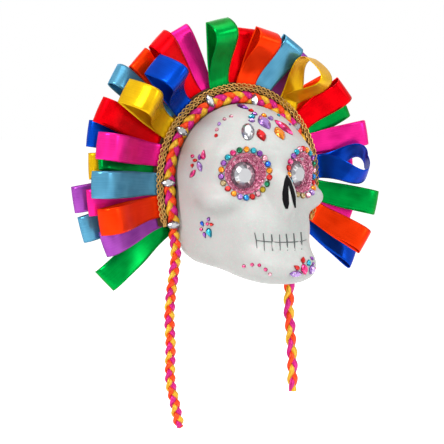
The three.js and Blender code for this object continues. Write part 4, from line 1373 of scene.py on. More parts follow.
@dataclass
class Headdress:
    """The trims on the felt band: crown braid, gimp, hanging braids and all the ribbon loops."""

    arch: Arch = field(default_factory=Arch)
    braid_middle: float = 6.5
    braid_depth: float = -13.9
    trim_middle: float = 16.7
    trim_depth: float = -13.5
    crown_pitch: float = 30.0
    right_pitch: float = 26.5
    left_pitch: float = 42.0
    tail_diameter: float = 9.5
    tail_blend: float = 14.0
    tail_end: float = 7.0
    route_step: float = 1.5

    def plait_tree(self, name: str, colours: Sequence[str]) -> WaveTree:
        """Tree of a three-strand plait, with its colours in the order that they come up in."""
        return WaveTree(name, [Cord(STRANDS[colour], 120.0 * i) for i, colour in enumerate(colours)], 2)

    def gimp_tree(self) -> WaveTree:
        """Tree of an open gimp: two rows of eyes, each between two wavy cords."""
        phases = ((0, -0.5), (180, -0.5), (90, 0.5), (270, 0.5))
        return WaveTree("open_gimp", [Cord(GOLD, phase_deg, row_share) for phase_deg, row_share in phases], 1)

    def build(self) -> None:
        """Makes the trims and the loops."""
        plait = self.plait_tree("three_strand_plait", ("magenta", "yellow", "orange"))
        turned = self.plait_tree("three_strand_plait_turned", ("orange", "yellow", "magenta"))
        right = WovenTrim("plait_tail_right", turned, self.right_pitch, sway=2.75, dive=1.9,
                          cord_width=5.6, cord_thickness=3.7, end_length=self.tail_end)
        left = WovenTrim("plait_tail_left", plait, self.left_pitch, sway=3.0, dive=1.9,
                         cord_width=6.0, cord_thickness=3.9, end_length=self.tail_end)
        crown = WovenTrim("crown_plait", turned, self.crown_pitch, sway=3.0, dive=1.5,
                          cord_width=6.4, cord_thickness=2.5)
        gimp = WovenTrim("gold_gimp", self.gimp_tree(), pitch=11.2, sway=1.45, dive=0.7,
                         cord_width=1.3, cord_thickness=1.2, row_spacing=3.7, end_length=9.0, step=0.5)
        self.hang(right, Body.TAIL_RIGHT, RIGHT_TAIL_ROUTE)
        self.hang(left, Body.TAIL_LEFT, LEFT_TAIL_ROUTE)
        crown_line = self.arch.line(self.braid_middle, self.braid_depth)
        settle(crown.make(crown_line), Body.ROOT, ["crown_braid"])
        gimp_line = self.arch.line(self.trim_middle, self.trim_depth)
        settle(gimp.make(gimp_line), Body.ROOT, ["gold_trim"])
        for loop in LOOPS:
            loop.build(self.arch)

    def hang(self, trim: WovenTrim, body: Body, route: Sequence[tuple[float, float, float]]) -> None:
        """Makes one hanging braid in place of the imported one.

        Args:
            trim: the braid.
            body: the body whose imported node it stands in for.
            route: points along its middle, from its upper end.
        """
        points = np.array(route, float)
        fine = even_curve(points, self.route_step)
        piece = trim.make(fine)
        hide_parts(body.value)
        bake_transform(piece)


def even_curve(points: np.ndarray, step: float, parts_per_span: int = 12) -> np.ndarray:
    """Smooth line through points.

    Args:
        points: the points that it passes.
        step: about how long each of its even steps is.
        parts_per_span: how finely each span is bent before the steps are marked off.

    Returns:
        Points at even steps along the line.
    """
    padded = np.concatenate([[2 * points[0] - points[1]], points, [2 * points[-1] - points[-2]]])
    parts = []
    for i in range(len(points) - 1):
        a, b, c, d = padded[i:i + 4]
        t = np.linspace(0, 1, parts_per_span, endpoint=False)[:, None]
        square, cube = 2 * a - 5 * b + 4 * c - d, 3 * b - a - 3 * c + d
        parts.append(0.5 * (2 * b + (c - a) * t + square * t ** 2 + cube * t ** 3))
    line = np.concatenate([*parts, points[-1:]])
    run = np.concatenate([[0], np.cumsum(np.linalg.norm(np.diff(line, axis=0), axis=1))])
    marks = np.linspace(0, run[-1], int(run[-1] / step) + 1)
    return np.stack([np.interp(marks, run, line[:, k]) for k in range(3)], -1)


class Cut(Enum):
    """Outlines that craft stones are cut to."""

    ROUND = "round"
    MARQUISE = "marquise"
    PEAR = "pear"

    def corners(self, count: int, turned: float) -> np.ndarray:
        """Corners of the outline at a half width and half length of 1, from the tip round.

        Args:
            count: number of corners.
            turned: shift along the outline, in corners.

        Returns:
            Pairs of across and along.
        """
        turn = 2 * np.pi * (np.arange(count) + turned) / count
        across, along = np.sin(turn), np.cos(turn)
        if self is Cut.MARQUISE:
            across = across * np.abs(across)
        if self is Cut.PEAR:
            # The tip draws in, and the factor brings the belly back to a half width of 1.
            across = 1.33 * across * np.abs(np.sin(turn / 2)) ** 1.1
        return np.stack([across, along], -1)


@dataclass(frozen=True)
class PhotoStone:
    """One glued stone as the photograph shows it: middle, length and width in pixels, and its turn.

    The turn is that of the long axis, or of a pear's tip, from the photograph's right towards its top.
    """

    colour: str
    cut: Cut
    pixel: tuple[float, float]
    length: float
    width: float
    turn_deg: float = 0.0


class StoneCluster:
    """Glued stones that make one piece, with a material for each colour and a painted reflection tone for each facet.
    """

    # Share of the outline, share of the height and shift along the outline of foot, girdle, crown and table.
    LEVELS = ((1.0, 0.0, 0.0), (1.0, 0.22, 0.0), (0.8, 0.68, 0.5), (0.52, 1.0, 0.0))
    # Painted reflections of the facets, as tones from 0 for the dark end to 1 for the pale glint.
    FOOT_TONE = 0.1
    LOWER_TONES = (0.0, 0.4)
    UPPER_TONES = (0.0, 0.5)
    STAR_TONES = (0.1, 0.4, 0.55, 0.7, 1.0)
    KITE_TONES = (0.1, 0.3, 0.45, 0.5, 1.0)
    TABLE_TONES = (0.45, 0.7)
    FORESHORTENING = 1.5
    HEIGHT_SHARE = 0.45
    TALLEST = 3.0
    BED = 0.1

    def __init__(self, name: str, slot: str, nodes: Sequence[str] = (), sides: int = 12, seed: int = 5) -> None:
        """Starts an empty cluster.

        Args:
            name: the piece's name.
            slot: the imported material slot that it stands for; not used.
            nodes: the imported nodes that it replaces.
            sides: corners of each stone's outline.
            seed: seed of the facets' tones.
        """
        self.name, self.slot, self.nodes, self.sides = name, slot, nodes, sides
        self.random = np.random.default_rng(seed)
        self.points: list[np.ndarray] = []
        self.faces: list[tuple[int, ...]] = []
        self.tones: list[float] = []
        self.colours: list[str] = []

    def add(self, colour: str, cut: Cut, middle: np.ndarray, normal: np.ndarray, along: np.ndarray,
            length: float, width: float, height: float, skull: Optional[Skull] = None) -> None:
        """Adds one stone.

        Args:
            colour: a key of the stone colours.
            cut: the outline.
            middle: the middle of its foot, in millimetres.
            normal: where its table faces.
            along: its long axis, or towards a pear's tip.
            length: whole length.
            width: whole width.
            height: from foot to table.
            skull: the skull whose skin the foot follows, if any.
        """
        along = unit(along - (along @ normal) * normal)
        across = np.cross(along, normal)
        rings = []
        for share, rise, turned in self.LEVELS:
            corners = cut.corners(self.sides, turned) * share * (width / 2, length / 2)
            rings.append(middle + corners[:, :1] * across + corners[:, 1:] * along + normal * rise * height)
        if skull is not None:
            rings[0] = skull.drop(rings[0], normal)
        first = sum(len(part) for part in self.points)
        self.points.extend(rings)
        foot, girdle, crown, table = (first + i * self.sides for i in range(4))
        self.face([foot + j for j in range(self.sides)][::-1], colour, self.FOOT_TONE)
        for j in range(self.sides):
            k = (j + 1) % self.sides
            self.face((foot + j, foot + k, girdle + k, girdle + j), colour, self.FOOT_TONE)
            self.face((girdle + j, girdle + k, crown + j), colour, self.random.uniform(*self.LOWER_TONES))
            self.face((girdle + k, crown + k, crown + j), colour, self.random.uniform(*self.UPPER_TONES))
            self.face((table + j, crown + j, table + k), colour, self.random.choice(self.STAR_TONES))
            self.face((crown + j, crown + k, table + k), colour, self.random.choice(self.KITE_TONES))
        self.face([table + j for j in range(self.sides)], colour, self.random.uniform(*self.TABLE_TONES))

    def face(self, corners: Sequence[int], colour: str, tone: float) -> None:
        """Adds one facet.

        Args:
            corners: numbers of its corners.
            colour: a key of the stone colours.
            tone: its painted reflection, how bright it throws light back, from 0 to 1.
        """
        self.faces.append(tuple(corners))
        self.colours.append(colour)
        self.tones.append(tone)

    def glue(self, camera: PhotoCamera, skull: Skull, stones: Sequence[PhotoStone]) -> None:
        """Adds stones where the photograph shows them on the skull.

        Args:
            camera: the photograph's camera.
            skull: the skull.
            stones: the stones as the photograph shows them.
        """
        for stone in stones:
            turn = math.radians(stone.turn_deg)
            long = np.array([math.cos(turn), -math.sin(turn)])
            wide = np.array([long[1], -long[0]])
            middle = np.array(stone.pixel)
            ends = [middle + long * 0.5, middle - long * 0.5, middle + wide * 0.5, middle - wide * 0.5]
            points, normals = skull.seen_at(camera, np.array([middle, *ends]))
            per_pixel = [np.linalg.norm(points[i] - points[i + 1]) for i in (1, 3)]
            length = stone.length * min(per_pixel[0], self.FORESHORTENING)
            width = stone.width * min(per_pixel[1], self.FORESHORTENING)
            height = min(self.HEIGHT_SHARE * min(length, width), self.TALLEST)
            foot = points[0] + self.BED * normals[0]
            self.add(stone.colour, stone.cut, foot, normals[0], points[1] - points[2], length, width, height, skull)

    def make(self) -> Object:
        """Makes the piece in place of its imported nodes.

        Returns:
            The finished piece.
        """
        names = sorted(set(self.colours))
        numbers = [names.index(colour) for colour in self.colours]
        piece = make_mesh(self.name, np.concatenate(self.points), self.faces,
                          [STONES[colour].material() for colour in names], numbers, shade_smooth=False)
        tones = piece.data.attributes.new("tone", "FLOAT", "FACE")
        tones.data.foreach_set("value", np.array(self.tones, np.float32))
        face_out(piece)
        return settle(piece, Body.ROOT, self.nodes)


class GlitterTree:
    """Geometry tree that scatters slanted hexagonal flakes over a surface."""

    SIZE_SHARES = (0.65, 1.2)
    FLAKE_CORNERS = 6
    FLAKE_THICKNESS = 0.12

    def __init__(self, name: str, finish: Finish) -> None:
        """Builds the tree.

        Args:
            name: the tree's name.
            finish: finish of the flakes.
        """
        self.tree = bpy.data.node_groups.new(name, "GeometryNodeTree")
        tree, face = self.tree, self.tree.interface
        face.new_socket("Surface", in_out="INPUT", socket_type="NodeSocketGeometry")
        self.sockets = {}
        for label in ("Flake Radius", "Flake Thickness", "Density", "Slant"):
            self.sockets[label] = face.new_socket(label, in_out="INPUT", socket_type="NodeSocketFloat").identifier
        self.sockets["Seed"] = face.new_socket("Seed", in_out="INPUT", socket_type="NodeSocketInt").identifier
        face.new_socket("Flakes", in_out="OUTPUT", socket_type="NodeSocketGeometry")
        sizes = add_node(tree, "NodeGroupInput").outputs
        scattered = add_node(tree, "GeometryNodeDistributePointsOnFaces", links={
            "Mesh": sizes["Surface"], "Density": sizes["Density"], "Seed": sizes["Seed"]})
        low = add_node(tree, "ShaderNodeVectorMath", {"operation": "SCALE"}, {0: (-1.0,) * 3, "Scale": sizes["Slant"]})
        high = add_node(tree, "ShaderNodeVectorMath", {"operation": "SCALE"}, {0: (1.0,) * 3, "Scale": sizes["Slant"]})
        slants = add_node(tree, "FunctionNodeRandomValue", {"data_type": "FLOAT_VECTOR"}, {
            0: low, 1: high, "Seed": sizes["Seed"]})
        slant = add_node(tree, "FunctionNodeEulerToRotation", links={0: slants})
        turned = add_node(tree, "FunctionNodeRotateRotation", {"rotation_space": "LOCAL"}, {
            0: scattered.outputs["Rotation"], 1: slant})
        scales = add_node(tree, "FunctionNodeRandomValue", {"data_type": "FLOAT"}, {
            2: self.SIZE_SHARES[0], 3: self.SIZE_SHARES[1], "Seed": sizes["Seed"]})
        flake = add_node(tree, "GeometryNodeMeshCylinder", links={
            "Vertices": self.FLAKE_CORNERS, "Radius": sizes["Flake Radius"], "Depth": sizes["Flake Thickness"]})
        laid = add_node(tree, "GeometryNodeInstanceOnPoints", links={
            "Points": scattered.outputs["Points"], "Instance": flake.outputs["Mesh"],
            "Rotation": turned, "Scale": scales.outputs[1]})
        real = add_node(tree, "GeometryNodeRealizeInstances", links={0: laid})
        flat = add_node(tree, "GeometryNodeSetShadeSmooth", links={"Geometry": real, "Shade Smooth": False})
        dressed = add_node(tree, "GeometryNodeSetMaterial", links={"Geometry": flat, "Material": finish.material()})
        add_node(tree, "NodeGroupOutput", links={0: dressed})

    def scatter(self, piece: Object, radius: float, density: float, slant_deg: float, seed: int) -> None:
        """Turns a surface into the flakes that lie on it.

        Args:
            piece: the surface.
            radius: radius of a flake in millimetres.
            density: flakes for each square millimetre.
            slant_deg: largest slant of a flake against the surface.
            seed: seed of the places, slants and sizes.
        """
        shower = piece.modifiers.new("glitter", "NODES")
        shower.node_group = self.tree
        for label, value in {
            "Flake Radius": radius * MM, "Flake Thickness": self.FLAKE_THICKNESS * MM, "Density": density / MM ** 2,
            "Slant": math.radians(slant_deg), "Seed": seed,
        }.items():
            shower[self.sockets[label]] = value
        flatten_modifiers(piece)


@dataclass(frozen=True)
class Eye:
    """One dressed eye: glittered lining, a faceted stone and the ring of small stones."""

    skull: Skull
    side: Side
    ring: tuple[str, ...]
    first_deg: float
    gem_radius: float = 12.4
    gem_height: float = 6.5
    gem_drop: float = 1.8
    ring_radius: float = 22.7
    stone_width: float = 6.1
    stone_height: float = 2.4
    lining_radius: float = 19.3
    lining_thickness: float = 0.9
    lining_edge: float = 0.45
    glue_bed: float = 0.1
    flake_radius: float = 0.55
    flakes_per_square_mm: float = 2.6
    flake_slant_deg: float = 32.0
    flake_seed: int = 11

    DISH_TURNS = 96
    DISH_RINGS = 26
    GROUND_RINGS = 12
    DISH_PINHOLE = 0.4
    UNDER_GEM = 1.5
    GEM_LENGTH_SHARE = 2.1
    GEM_SIDES = 16
    GEM_SEED = 3
    RING_STONE_LIFT = 0.35
    RING_STONE_SIDES = 12
    RING_SEED = 9

    def dish(self, radii: np.ndarray, turns: int, lift: np.ndarray) -> np.ndarray:
        """Rings of points over the pressed eye dish, in the model's axes.

        Args:
            radii: radius of each ring.
            turns: points in each ring.
            lift: height of each ring over the skin.

        Returns:
            The points, by ring and turn.
        """
        skull = self.skull
        centre, axis, across, up = skull.eye_frame(self.side)
        turn = np.linspace(0, 2 * np.pi, turns, endpoint=False)
        u = np.multiply.outer(radii, np.cos(turn))
        v = np.multiply.outer(radii, np.sin(turn))
        bare = skull.over_eye(self.side, u, v)
        heights = (bare - centre) @ axis
        share = smooth((skull.socket_radius - radii) / (skull.socket_radius - skull.socket_floor))[:, None]
        pressed = heights + (-skull.socket_depth - heights) * share + lift[:, None]
        return skull.to_frame(centre + u[..., None] * across + v[..., None] * up + pressed[..., None] * axis)

    def build(self, glitter: GlitterTree) -> None:
        """Makes the eye's pieces.

        Args:
            glitter: the tree that scatters the flakes.
        """
        self.line_dish(glitter)
        self.set_gem()
        self.set_ring()

    def line_dish(self, glitter: GlitterTree) -> None:
        """Makes the glue lining, and the flakes that lie in it.

        Args:
            glitter: the tree that scatters the flakes.
        """
        turns = self.DISH_TURNS
        radii = np.linspace(self.DISH_PINHOLE, self.lining_radius, self.DISH_RINGS)
        thick = np.interp(radii, [0, self.skull.socket_floor, self.lining_radius],
                          [self.lining_thickness, self.lining_thickness, self.lining_edge])
        top = self.dish(radii, turns, thick)
        foot = self.dish(radii, turns, np.full(len(radii), self.glue_bed))
        rows = np.concatenate([foot, top[::-1]])
        ends = np.stack([foot[0].mean(0), top[0].mean(0)])
        faces = grid_faces(len(rows), turns, True)
        first, start = len(rows) * turns, (len(rows) - 1) * turns
        for j in range(turns):
            k = (j + 1) % turns
            faces.append((first, k, j))
            faces.append((start + j, start + k, first + 1))
        name = f"glitter_lining_{self.side.label}"
        lining = make_mesh(name, np.concatenate([rows.reshape(-1, 3), ends]), faces, [LINING.material()])
        face_out(lining)
        settle(lining, Body.ROOT, [f"socket_lining_{self.side.label}"])
        ground = np.linspace(self.gem_radius - self.UNDER_GEM, self.lining_radius, self.GROUND_RINGS)
        surface = self.dish(ground, turns, np.interp(ground, radii, thick) + self.glue_bed)
        flakes = make_mesh(f"glitter_flakes_{self.side.label}", surface.reshape(-1, 3),
                           grid_faces(len(ground), turns, True), [FLAKES.material()])
        glitter.scatter(flakes, self.flake_radius, self.flakes_per_square_mm, self.flake_slant_deg,
                        self.flake_seed + self.side.value)
        settle(flakes, Body.ROOT)

    def set_gem(self) -> None:
        """Makes the large faceted stone on the floor of the dish."""
        centre, axis, _, up = self.skull.eye_frame(self.side)
        rise = self.lining_thickness - self.skull.socket_depth
        seat = self.skull.to_frame(centre - self.gem_drop * up + rise * axis)
        facing = np.array([axis[0], -axis[1], axis[2]])
        gem = StoneCluster(f"eye_stone_{self.side.label}", "clear_stone", [f"eye_gem_{self.side.label}"],
                           self.GEM_SIDES, self.GEM_SEED)
        gem.add("clear", Cut.ROUND, seat, facing, UPWARDS,
                self.GEM_LENGTH_SHARE * self.gem_radius, 2 * self.gem_radius, self.gem_height)
        gem.make()

    def set_ring(self) -> None:
        """Makes the small stones round the dish."""
        ring = StoneCluster(f"eye_ring_stones_{self.side.label}", "mixed_stones", [f"eye_ring_{self.side.label}"],
                            self.RING_STONE_SIDES, self.RING_SEED)
        turns = np.radians(self.first_deg) + 2 * np.pi * np.arange(len(self.ring)) / len(self.ring)
        feet = self.skull.over_eye(self.side, self.ring_radius * np.cos(turns), self.ring_radius * np.sin(turns))
        normals = self.skull.normals(feet)
        for colour, foot, normal in zip(self.ring, feet, normals):
            facing = np.array([normal[0], -normal[1], normal[2]])
            ring.add(colour, Cut.ROUND, self.skull.to_frame(foot + self.RING_STONE_LIFT * normal), facing, UPWARDS,
                     self.stone_width, self.stone_width, self.stone_height, self.skull)
        ring.make()


@dataclass(frozen=True)
class Stroke:
    """A stroke of paint or pencil on the skull, along pixels of the photograph, with its width at each."""

    pixels: tuple[tuple[float, float], ...]
    widths: tuple[float, ...]

    STEPS_PER_PIXEL = 1.2
    FEWEST_STEPS = 6
    COLUMNS = 5
    SUNK = 0.05

    def lay(self, camera: PhotoCamera, skull: Skull, lift: float, first: int) -> tuple[np.ndarray, list]:
        """Thin closed slab of the stroke.

        Args:
            camera: the photograph's camera.
            skull: the skull.
            lift: how thick the paint stands on the skin, in millimetres.
            first: number of the slab's first corner.

        Returns:
            Its corners in the model's axes, and its faces.
        """
        knots = np.array(self.pixels, float)
        run = np.linalg.norm(np.diff(knots, axis=0), axis=1).sum()
        steps = max(self.FEWEST_STEPS, int(run * self.STEPS_PER_PIXEL))
        places = np.linspace(0, len(knots) - 1, steps)
        middle = np.stack([np.interp(places, np.arange(len(knots)), knots[:, i]) for i in (0, 1)], -1)
        widths = np.interp(places, np.arange(len(knots)), self.widths)
        heading = unit(np.gradient(middle, axis=0))
        aside = np.stack([-heading[:, 1], heading[:, 0]], -1)
        shares = np.linspace(-0.5, 0.5, self.COLUMNS)
        pixels = middle[:, None] + aside[:, None] * (widths[:, None] * shares)[..., None]
        skin, normals = skull.seen_at(camera, pixels.reshape(-1, 2))
        top, foot = skin + lift * normals, skin - self.SUNK * normals
        columns = self.COLUMNS
        over = grid_faces(steps, columns, False)
        low = len(top)
        faces = over + [tuple(low + c for c in quad[::-1]) for quad in over]
        edge = [j for j in range(columns)] + [i * columns + columns - 1 for i in range(1, steps)]
        edge += [(steps - 1) * columns + j for j in range(columns - 2, -1, -1)]
        edge += [i * columns for i in range(steps - 2, 0, -1)]
        for a, b in zip(edge, edge[1:] + edge[:1]):
            faces.append((b, a, low + a, low + b))
        return np.concatenate([top, foot]), [tuple(first + c for c in face) for face in faces]


# Nose: two brushed drops that meet at their tips. Mouth: a ruled line with seven short ones across it.
NOSTRILS = (
    Stroke(((286.9, 175.3), (286.5, 180), (286.0, 186), (285.5, 193), (285.7, 199), (286.4, 204), (286.8, 208.8)),
           (1.2, 3.9, 5.0, 6.2, 6.4, 5.6, 2.4)),
    Stroke(((286.8, 176.0), (289.1, 181), (291.6, 188.9), (293.6, 196.9), (294.4, 203.3), (295.2, 207.8)),
           (1.4, 3.2, 3.8, 3.9, 2.6, 1.0)),
)
MOUTH = (
    Stroke(((256.2, 240.4), (264.1, 241.4), (272.1, 242), (279.3, 242.4), (287.3, 242.2), (294.4, 242),
            (301.6, 241.4), (306, 239.8)), (0.6, 0.9, 0.9, 0.7, 0.9, 1.0, 0.8, 0.5)),
    Stroke(((254.6, 232.6), (256.2, 240), (257, 248.3)), (0.7, 1.1, 0.6)),
    Stroke(((263.2, 233.2), (264, 241), (264.4, 250.7)), (0.9, 1.1, 0.6)),
    Stroke(((271.5, 234.4), (272.2, 242), (272.5, 251)), (1.0, 1.6, 1.0)),
    Stroke(((279.4, 234.4), (279.7, 242), (280.3, 250.5)), (0.6, 0.9, 0.6)),
    Stroke(((286.1, 233.7), (287.1, 242), (287.5, 251)), (0.9, 1.3, 0.7)),
    Stroke(((293.6, 233.2), (294.3, 242), (294.8, 251.1)), (0.8, 1.3, 0.7)),
    Stroke(((300.8, 232), (301.5, 241), (301.6, 249.7)), (0.8, 1.1, 0.9)),
)

# Rings of stones, counter-clockwise in the photograph from the right.
RIGHT_RING = (
    "amber", "royal", "blush", "purple", "teal", "amber", "emerald", "pink", "teal", "purple", "amber",
    "purple", "champagne", "red", "amber", "lilac", "blue", "red", "blush", "olive", "emerald", "red",
)
LEFT_RING = (
    "blush", "emerald", "purple", "teal", "amber", "red", "blush", "teal", "purple", "pink", "red",
    "amber", "teal", "emerald", "olive", "champagne", "champagne", "blush", "lilac", "amber", "red", "blue",
)

FOREHEAD_FLOWER = {
    "clear": PhotoStone("clear", Cut.ROUND, (247.8, 131.7), 16.5, 13, 90),
    "lilac": PhotoStone("lilac", Cut.MARQUISE, (264.2, 122.8), 17, 8.6, -54),
    "red": PhotoStone("red", Cut.MARQUISE, (261.2, 135.2), 13, 7.6, -63),
    "amber": PhotoStone("amber", Cut.MARQUISE, (279.5, 133.4), 14.6, 7.6, -59),
    "pink": PhotoStone("pink", Cut.MARQUISE, (283.6, 127.7), 23.6, 8.0, -39),
}

# Small stones of the forehead, temple, cheek, jaw and chin.
SPRAYS = tuple(PhotoStone(*row) for row in (
    ("purple", Cut.MARQUISE, (242.6, 107.2), 12.5, 3.8, -19),
    ("red", Cut.MARQUISE, (250.9, 111), 5.9, 3.0, -13),
    ("purple", Cut.MARQUISE, (254.6, 114.3), 6, 3.2, -10),
    ("teal", Cut.MARQUISE, (251.6, 117.2), 7.2, 3.9),
    ("lilac", Cut.MARQUISE, (251.6, 120.9), 6.8, 3.2, -8),
    ("amber", Cut.MARQUISE, (263.8, 115.8), 6.3, 3.3, -20),
    ("lilac", Cut.MARQUISE, (270.2, 118.7), 6.2, 3.7, -12),
    ("teal", Cut.ROUND, (278.4, 115.6), 3, 2.4),
    ("purple", Cut.ROUND, (289.6, 124.6), 2.4, 2),
    ("blush", Cut.ROUND, (231.2, 116.4), 3.4, 2.8, 30),
    ("blush", Cut.ROUND, (224.5, 119.2), 3.6, 3, 30),
    ("lilac", Cut.ROUND, (219.2, 124), 3.6, 3.4),
    ("blush", Cut.ROUND, (216.8, 129.8), 3.6, 3.4),
    ("red", Cut.ROUND, (216.2, 135.7), 3.7, 3.4),
    ("pink", Cut.PEAR, (203.6, 154.7), 10, 4.8, 84),
    ("purple", Cut.PEAR, (199.5, 157), 6, 3.2, 90),
    ("pink", Cut.ROUND, (192.6, 156.2), 3.7, 3.7),
    ("red", Cut.ROUND, (195, 160.4), 4.5, 3.6),
    ("red", Cut.PEAR, (192.4, 165.8), 4.4, 3.4, -90),
    ("lilac", Cut.MARQUISE, (199.7, 166.4), 11, 5.5, -72),
    ("pink", Cut.MARQUISE, (192.8, 173.7), 10, 4.5, 53),
    ("purple", Cut.MARQUISE, (208.6, 219.1), 4.6, 3.6, 60),
    ("royal", Cut.PEAR, (202.5, 223.7), 6, 3.4, -58),
    ("pink", Cut.ROUND, (207.4, 223.9), 3.4, 3.4),
    ("red", Cut.PEAR, (211.9, 224.4), 4.6, 3.4),
    ("pink", Cut.ROUND, (201.3, 229.2), 3.5, 3.5),
    ("teal", Cut.PEAR, (209.6, 232.7), 10, 5.5, -67),
    ("purple", Cut.PEAR, (204.8, 235.1), 6.4, 3.2, -72),
    ("pink", Cut.ROUND, (244.1, 266.1), 3.4, 3.4),
    ("pink", Cut.ROUND, (252.2, 264.7), 3.8, 3.8),
    ("pink", Cut.ROUND, (259.4, 265.2), 3.8, 3.8),
    ("pink", Cut.ROUND, (265.6, 269.5), 4, 4),
    ("blush", Cut.ROUND, (270, 274.2), 3.8, 3.8),
    ("red", Cut.PEAR, (302.8, 259.9), 6.2, 3.9, 90),
    ("teal", Cut.PEAR, (308.4, 262.7), 6.4, 3.4, 90),
    ("pink", Cut.MARQUISE, (304.1, 269.2), 11.5, 6.6, -82),
    ("red", Cut.PEAR, (296.5, 267.4), 6.7, 4.6, 145),
    ("lilac", Cut.MARQUISE, (295.7, 273.8), 12.6, 6.2, 2),
    ("lilac", Cut.MARQUISE, (311.4, 269.4), 10, 5.6, 78),
    ("purple", Cut.MARQUISE, (311.6, 258.6), 4.6, 2.6, -50),
    ("purple", Cut.ROUND, (313.2, 263.6), 3, 2.4),
    ("pink", Cut.ROUND, (314.8, 268.4), 2.6, 2.2),
))

# Clear marquises glued across the crown plait, by the pixel of the middle of each.
PLAIT_STONES = ((173.4, 225), (168, 183), (181.7, 131.2), (210, 101), (254.5, 100.5), (296.5, 127))


@dataclass
class Jewellery:
    """Everything glued to or painted on the skull's face."""

    camera: PhotoCamera
    skull: Skull
    rings: tuple[tuple[Side, tuple[str, ...], float], ...] = (
        (Side.RIGHT, RIGHT_RING, 6.8),
        (Side.LEFT, LEFT_RING, 4.0),
    )
    plait_front: float = -16.3
    plait_stone: tuple[float, float, float] = (14.5, 8.0, 2.8)
    plait_stone_lean: float = 0.25
    petal_sides: int = 14
    nostril_lift: float = 0.4
    pencil_lift: float = 0.45

    def build(self) -> None:
        """Makes the eyes, the stones and the marks."""
        glitter = GlitterTree("scattered_glitter", FLAKES)
        for side, colours, first_deg in self.rings:
            Eye(self.skull, side, colours, first_deg).build(glitter)
        for colour, stone in FOREHEAD_FLOWER.items():
            petal = StoneCluster(f"flower_stone_{colour}", f"{colour}_stone", [f"forehead_stone_{colour}"],
                                 self.petal_sides)
            petal.glue(self.camera, self.skull, [stone])
            petal.make()
        sprays = StoneCluster("small_stone_sprays", "mixed_stones")
        sprays.glue(self.camera, self.skull, SPRAYS)
        sprays.make()
        self.stud_plait()
        self.mark("painted_nostrils", NOSTRILS, NOSTRIL_PAINT, self.nostril_lift)
        self.mark("drawn_mouth", MOUTH, PENCIL, self.pencil_lift)

    def stud_plait(self) -> None:
        """Glues the clear stones across the crown plait, each square to the arch."""
        studs = StoneCluster("plait_stones", "clear_stone")
        eye = self.camera.eye()
        for pixel in PLAIT_STONES:
            ray = self.camera.directions(np.array(pixel))
            place = eye + ray * (self.plait_front - eye[1]) / ray[1]
            outwards = unit(np.array([place[0], 0.0, max(place[2], 0.0)]))
            facing = unit(FORWARD + self.plait_stone_lean * outwards)
            studs.add("clear", Cut.MARQUISE, place, facing, outwards, *self.plait_stone)
        studs.make()

    def mark(self, name: str, strokes: Sequence[Stroke], finish: Finish, lift: float) -> None:
        """Lays strokes of one paint on the skin as one thin piece.

        Args:
            name: the piece's name.
            strokes: the strokes.
            finish: the paint.
            lift: how thick it stands on the skin, in millimetres.
        """
        points, faces = [], []
        for stroke in strokes:
            corners, quads = stroke.lay(self.camera, self.skull, lift, sum(len(part) for part in points))
            points.append(corners)
            faces.extend(quads)
        piece = make_mesh(name, np.concatenate(points), faces, [finish.material()])
        face_out(piece)
        settle(piece, Body.ROOT)


@dataclass(frozen=True)
class SoftLamp:
    """A square soft lamp, by where it stands round the skull."""

    name: str
    azimuth_deg: float
    elevation_deg: float
    power: float
    size: float = 1.1
    distance: float = 1.7

    def make(self, aim: Vector) -> None:
        """Adds the lamp, turned to its aim.

        Args:
            aim: the place that it shines on, in metres.
        """
        back = Vector(towards(self.azimuth_deg, self.elevation_deg))
        data = bpy.data.lights.new(self.name, "AREA")
        data.shape = "SQUARE"
        data.size = self.size
        data.energy = self.power
        lamp = bpy.data.objects.new(self.name, data)
        lamp.location = aim + back * self.distance
        lamp.rotation_mode = "QUATERNION"
        lamp.rotation_quaternion = (-back).to_track_quat("-Z", "Y")
        bpy.context.scene.collection.objects.link(lamp)


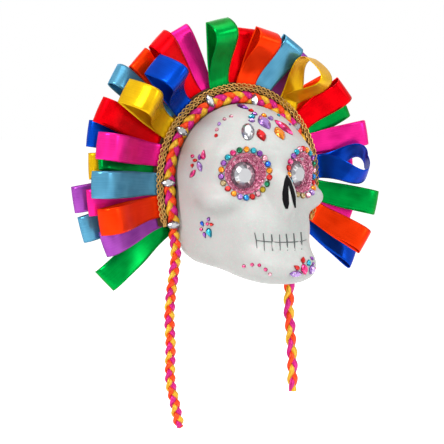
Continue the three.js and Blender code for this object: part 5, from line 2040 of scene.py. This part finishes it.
@dataclass(frozen=True)
class Studio:
    """White studio: a pale floor that fades into a white surround, and four soft lamps."""

    floor_height: float = -0.300
    floor_half: float = 30.0
    aim: tuple[float, float, float] = (0.0, -0.03, -0.05)
    surround_level: float = 0.55
    floor_glow: float = 0.62
    lamps: tuple[SoftLamp, ...] = (
        SoftLamp("key_lamp", -62, 38, 17.0, 0.6),
        SoftLamp("fill_lamp", 34, 22, 8.0, 0.7),
        SoftLamp("top_lamp", 0, 82, 8.0),
        SoftLamp("back_lamp", 165, 30, 9.0),
    )

    def seen_rays(self, tree: NodeTree) -> NodeSocket:
        """Tells the rays that show a surface from those that only light one.

        Args:
            tree: the nodes of the surround or the floor.

        Returns:
            Output that is 1 for rays from the camera, off gloss and through glass.
        """
        rays = add_node(tree, "ShaderNodeLightPath").outputs
        some = add_node(tree, "ShaderNodeMath", {"operation": "MAXIMUM"},
                        {0: rays["Is Camera Ray"], 1: rays["Is Glossy Ray"]})
        every = add_node(tree, "ShaderNodeMath", {"operation": "MAXIMUM"}, {0: some, 1: rays["Is Transmission Ray"]})
        return every.outputs[0]

    def make_surround(self) -> None:
        """White where it is seen, and a softer light where it only lights the object."""
        world = bpy.data.worlds.new("white_surround")
        world.use_nodes = True
        tree = world.node_tree
        tree.nodes.clear()
        level = add_node(tree, "ShaderNodeMapRange", links={
            "Value": self.seen_rays(tree), "To Min": self.surround_level})
        light = add_node(tree, "ShaderNodeBackground", links={"Color": linear("#ffffff"), "Strength": level})
        add_node(tree, "ShaderNodeOutputWorld", links={"Surface": light})
        bpy.context.scene.world = world

    def make_floor(self) -> None:
        """Pale floor under the hanging braids; it glows a little so that only the shadow shows on it."""
        half = self.floor_half / MM
        height = self.floor_height / MM
        corners = np.array([(x, y, height) for x, y in ((-half, -half), (half, -half), (half, half), (-half, half))])
        paper = bpy.data.materials.new("white_paper_floor")
        paper.use_nodes = True
        tree = paper.node_tree
        tree.nodes.clear()
        matt = add_node(tree, "ShaderNodeBsdfDiffuse", links={"Color": linear("#f4f4f4")})
        glow = add_node(tree, "ShaderNodeMath", {"operation": "MULTIPLY"}, {
            0: self.seen_rays(tree), 1: self.floor_glow})
        shine = add_node(tree, "ShaderNodeEmission", links={"Color": linear("#ffffff"), "Strength": glow})
        both = add_node(tree, "ShaderNodeAddShader", links={0: matt, 1: shine})
        add_node(tree, "ShaderNodeOutputMaterial", links={"Surface": both})
        make_mesh("studio_floor", corners, [(0, 1, 2, 3)], [paper], shade_smooth=False)

    def build(self) -> None:
        """Makes the surround, the floor and the lamps, and sets the plain view."""
        self.make_surround()
        self.make_floor()
        for lamp in self.lamps:
            lamp.make(Vector(self.aim))
        bpy.context.scene.view_settings.view_transform = "Standard"


class Hardware:
    """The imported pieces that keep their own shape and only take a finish."""

    FINISHES = {
        "back_board": FIBREBOARD,
        "hanger_plate": ZINC,
        "hanger_nail": ZINC,
        "headdress_band": FELT,
    }

    def dress(self) -> None:
        """Gives each kept piece its material."""
        for name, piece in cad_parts.items():
            for start, finish in self.FINISHES.items():
                if name.startswith(start):
                    piece.data.materials.clear()
                    piece.data.materials.append(finish.material())


def main() -> None:
    """Builds the camera, the cords and the rest of the dressed skull, then the studio."""
    logging.basicConfig(level=logging.INFO, format="%(name)s: %(message)s")
    camera, skull = PhotoCamera(), Skull()
    camera.make()
    Headdress().build()
    skull.build()
    Jewellery(camera, skull).build()
    Hardware().dress()
    Studio().build()


if __name__ == "__main__":
    main()
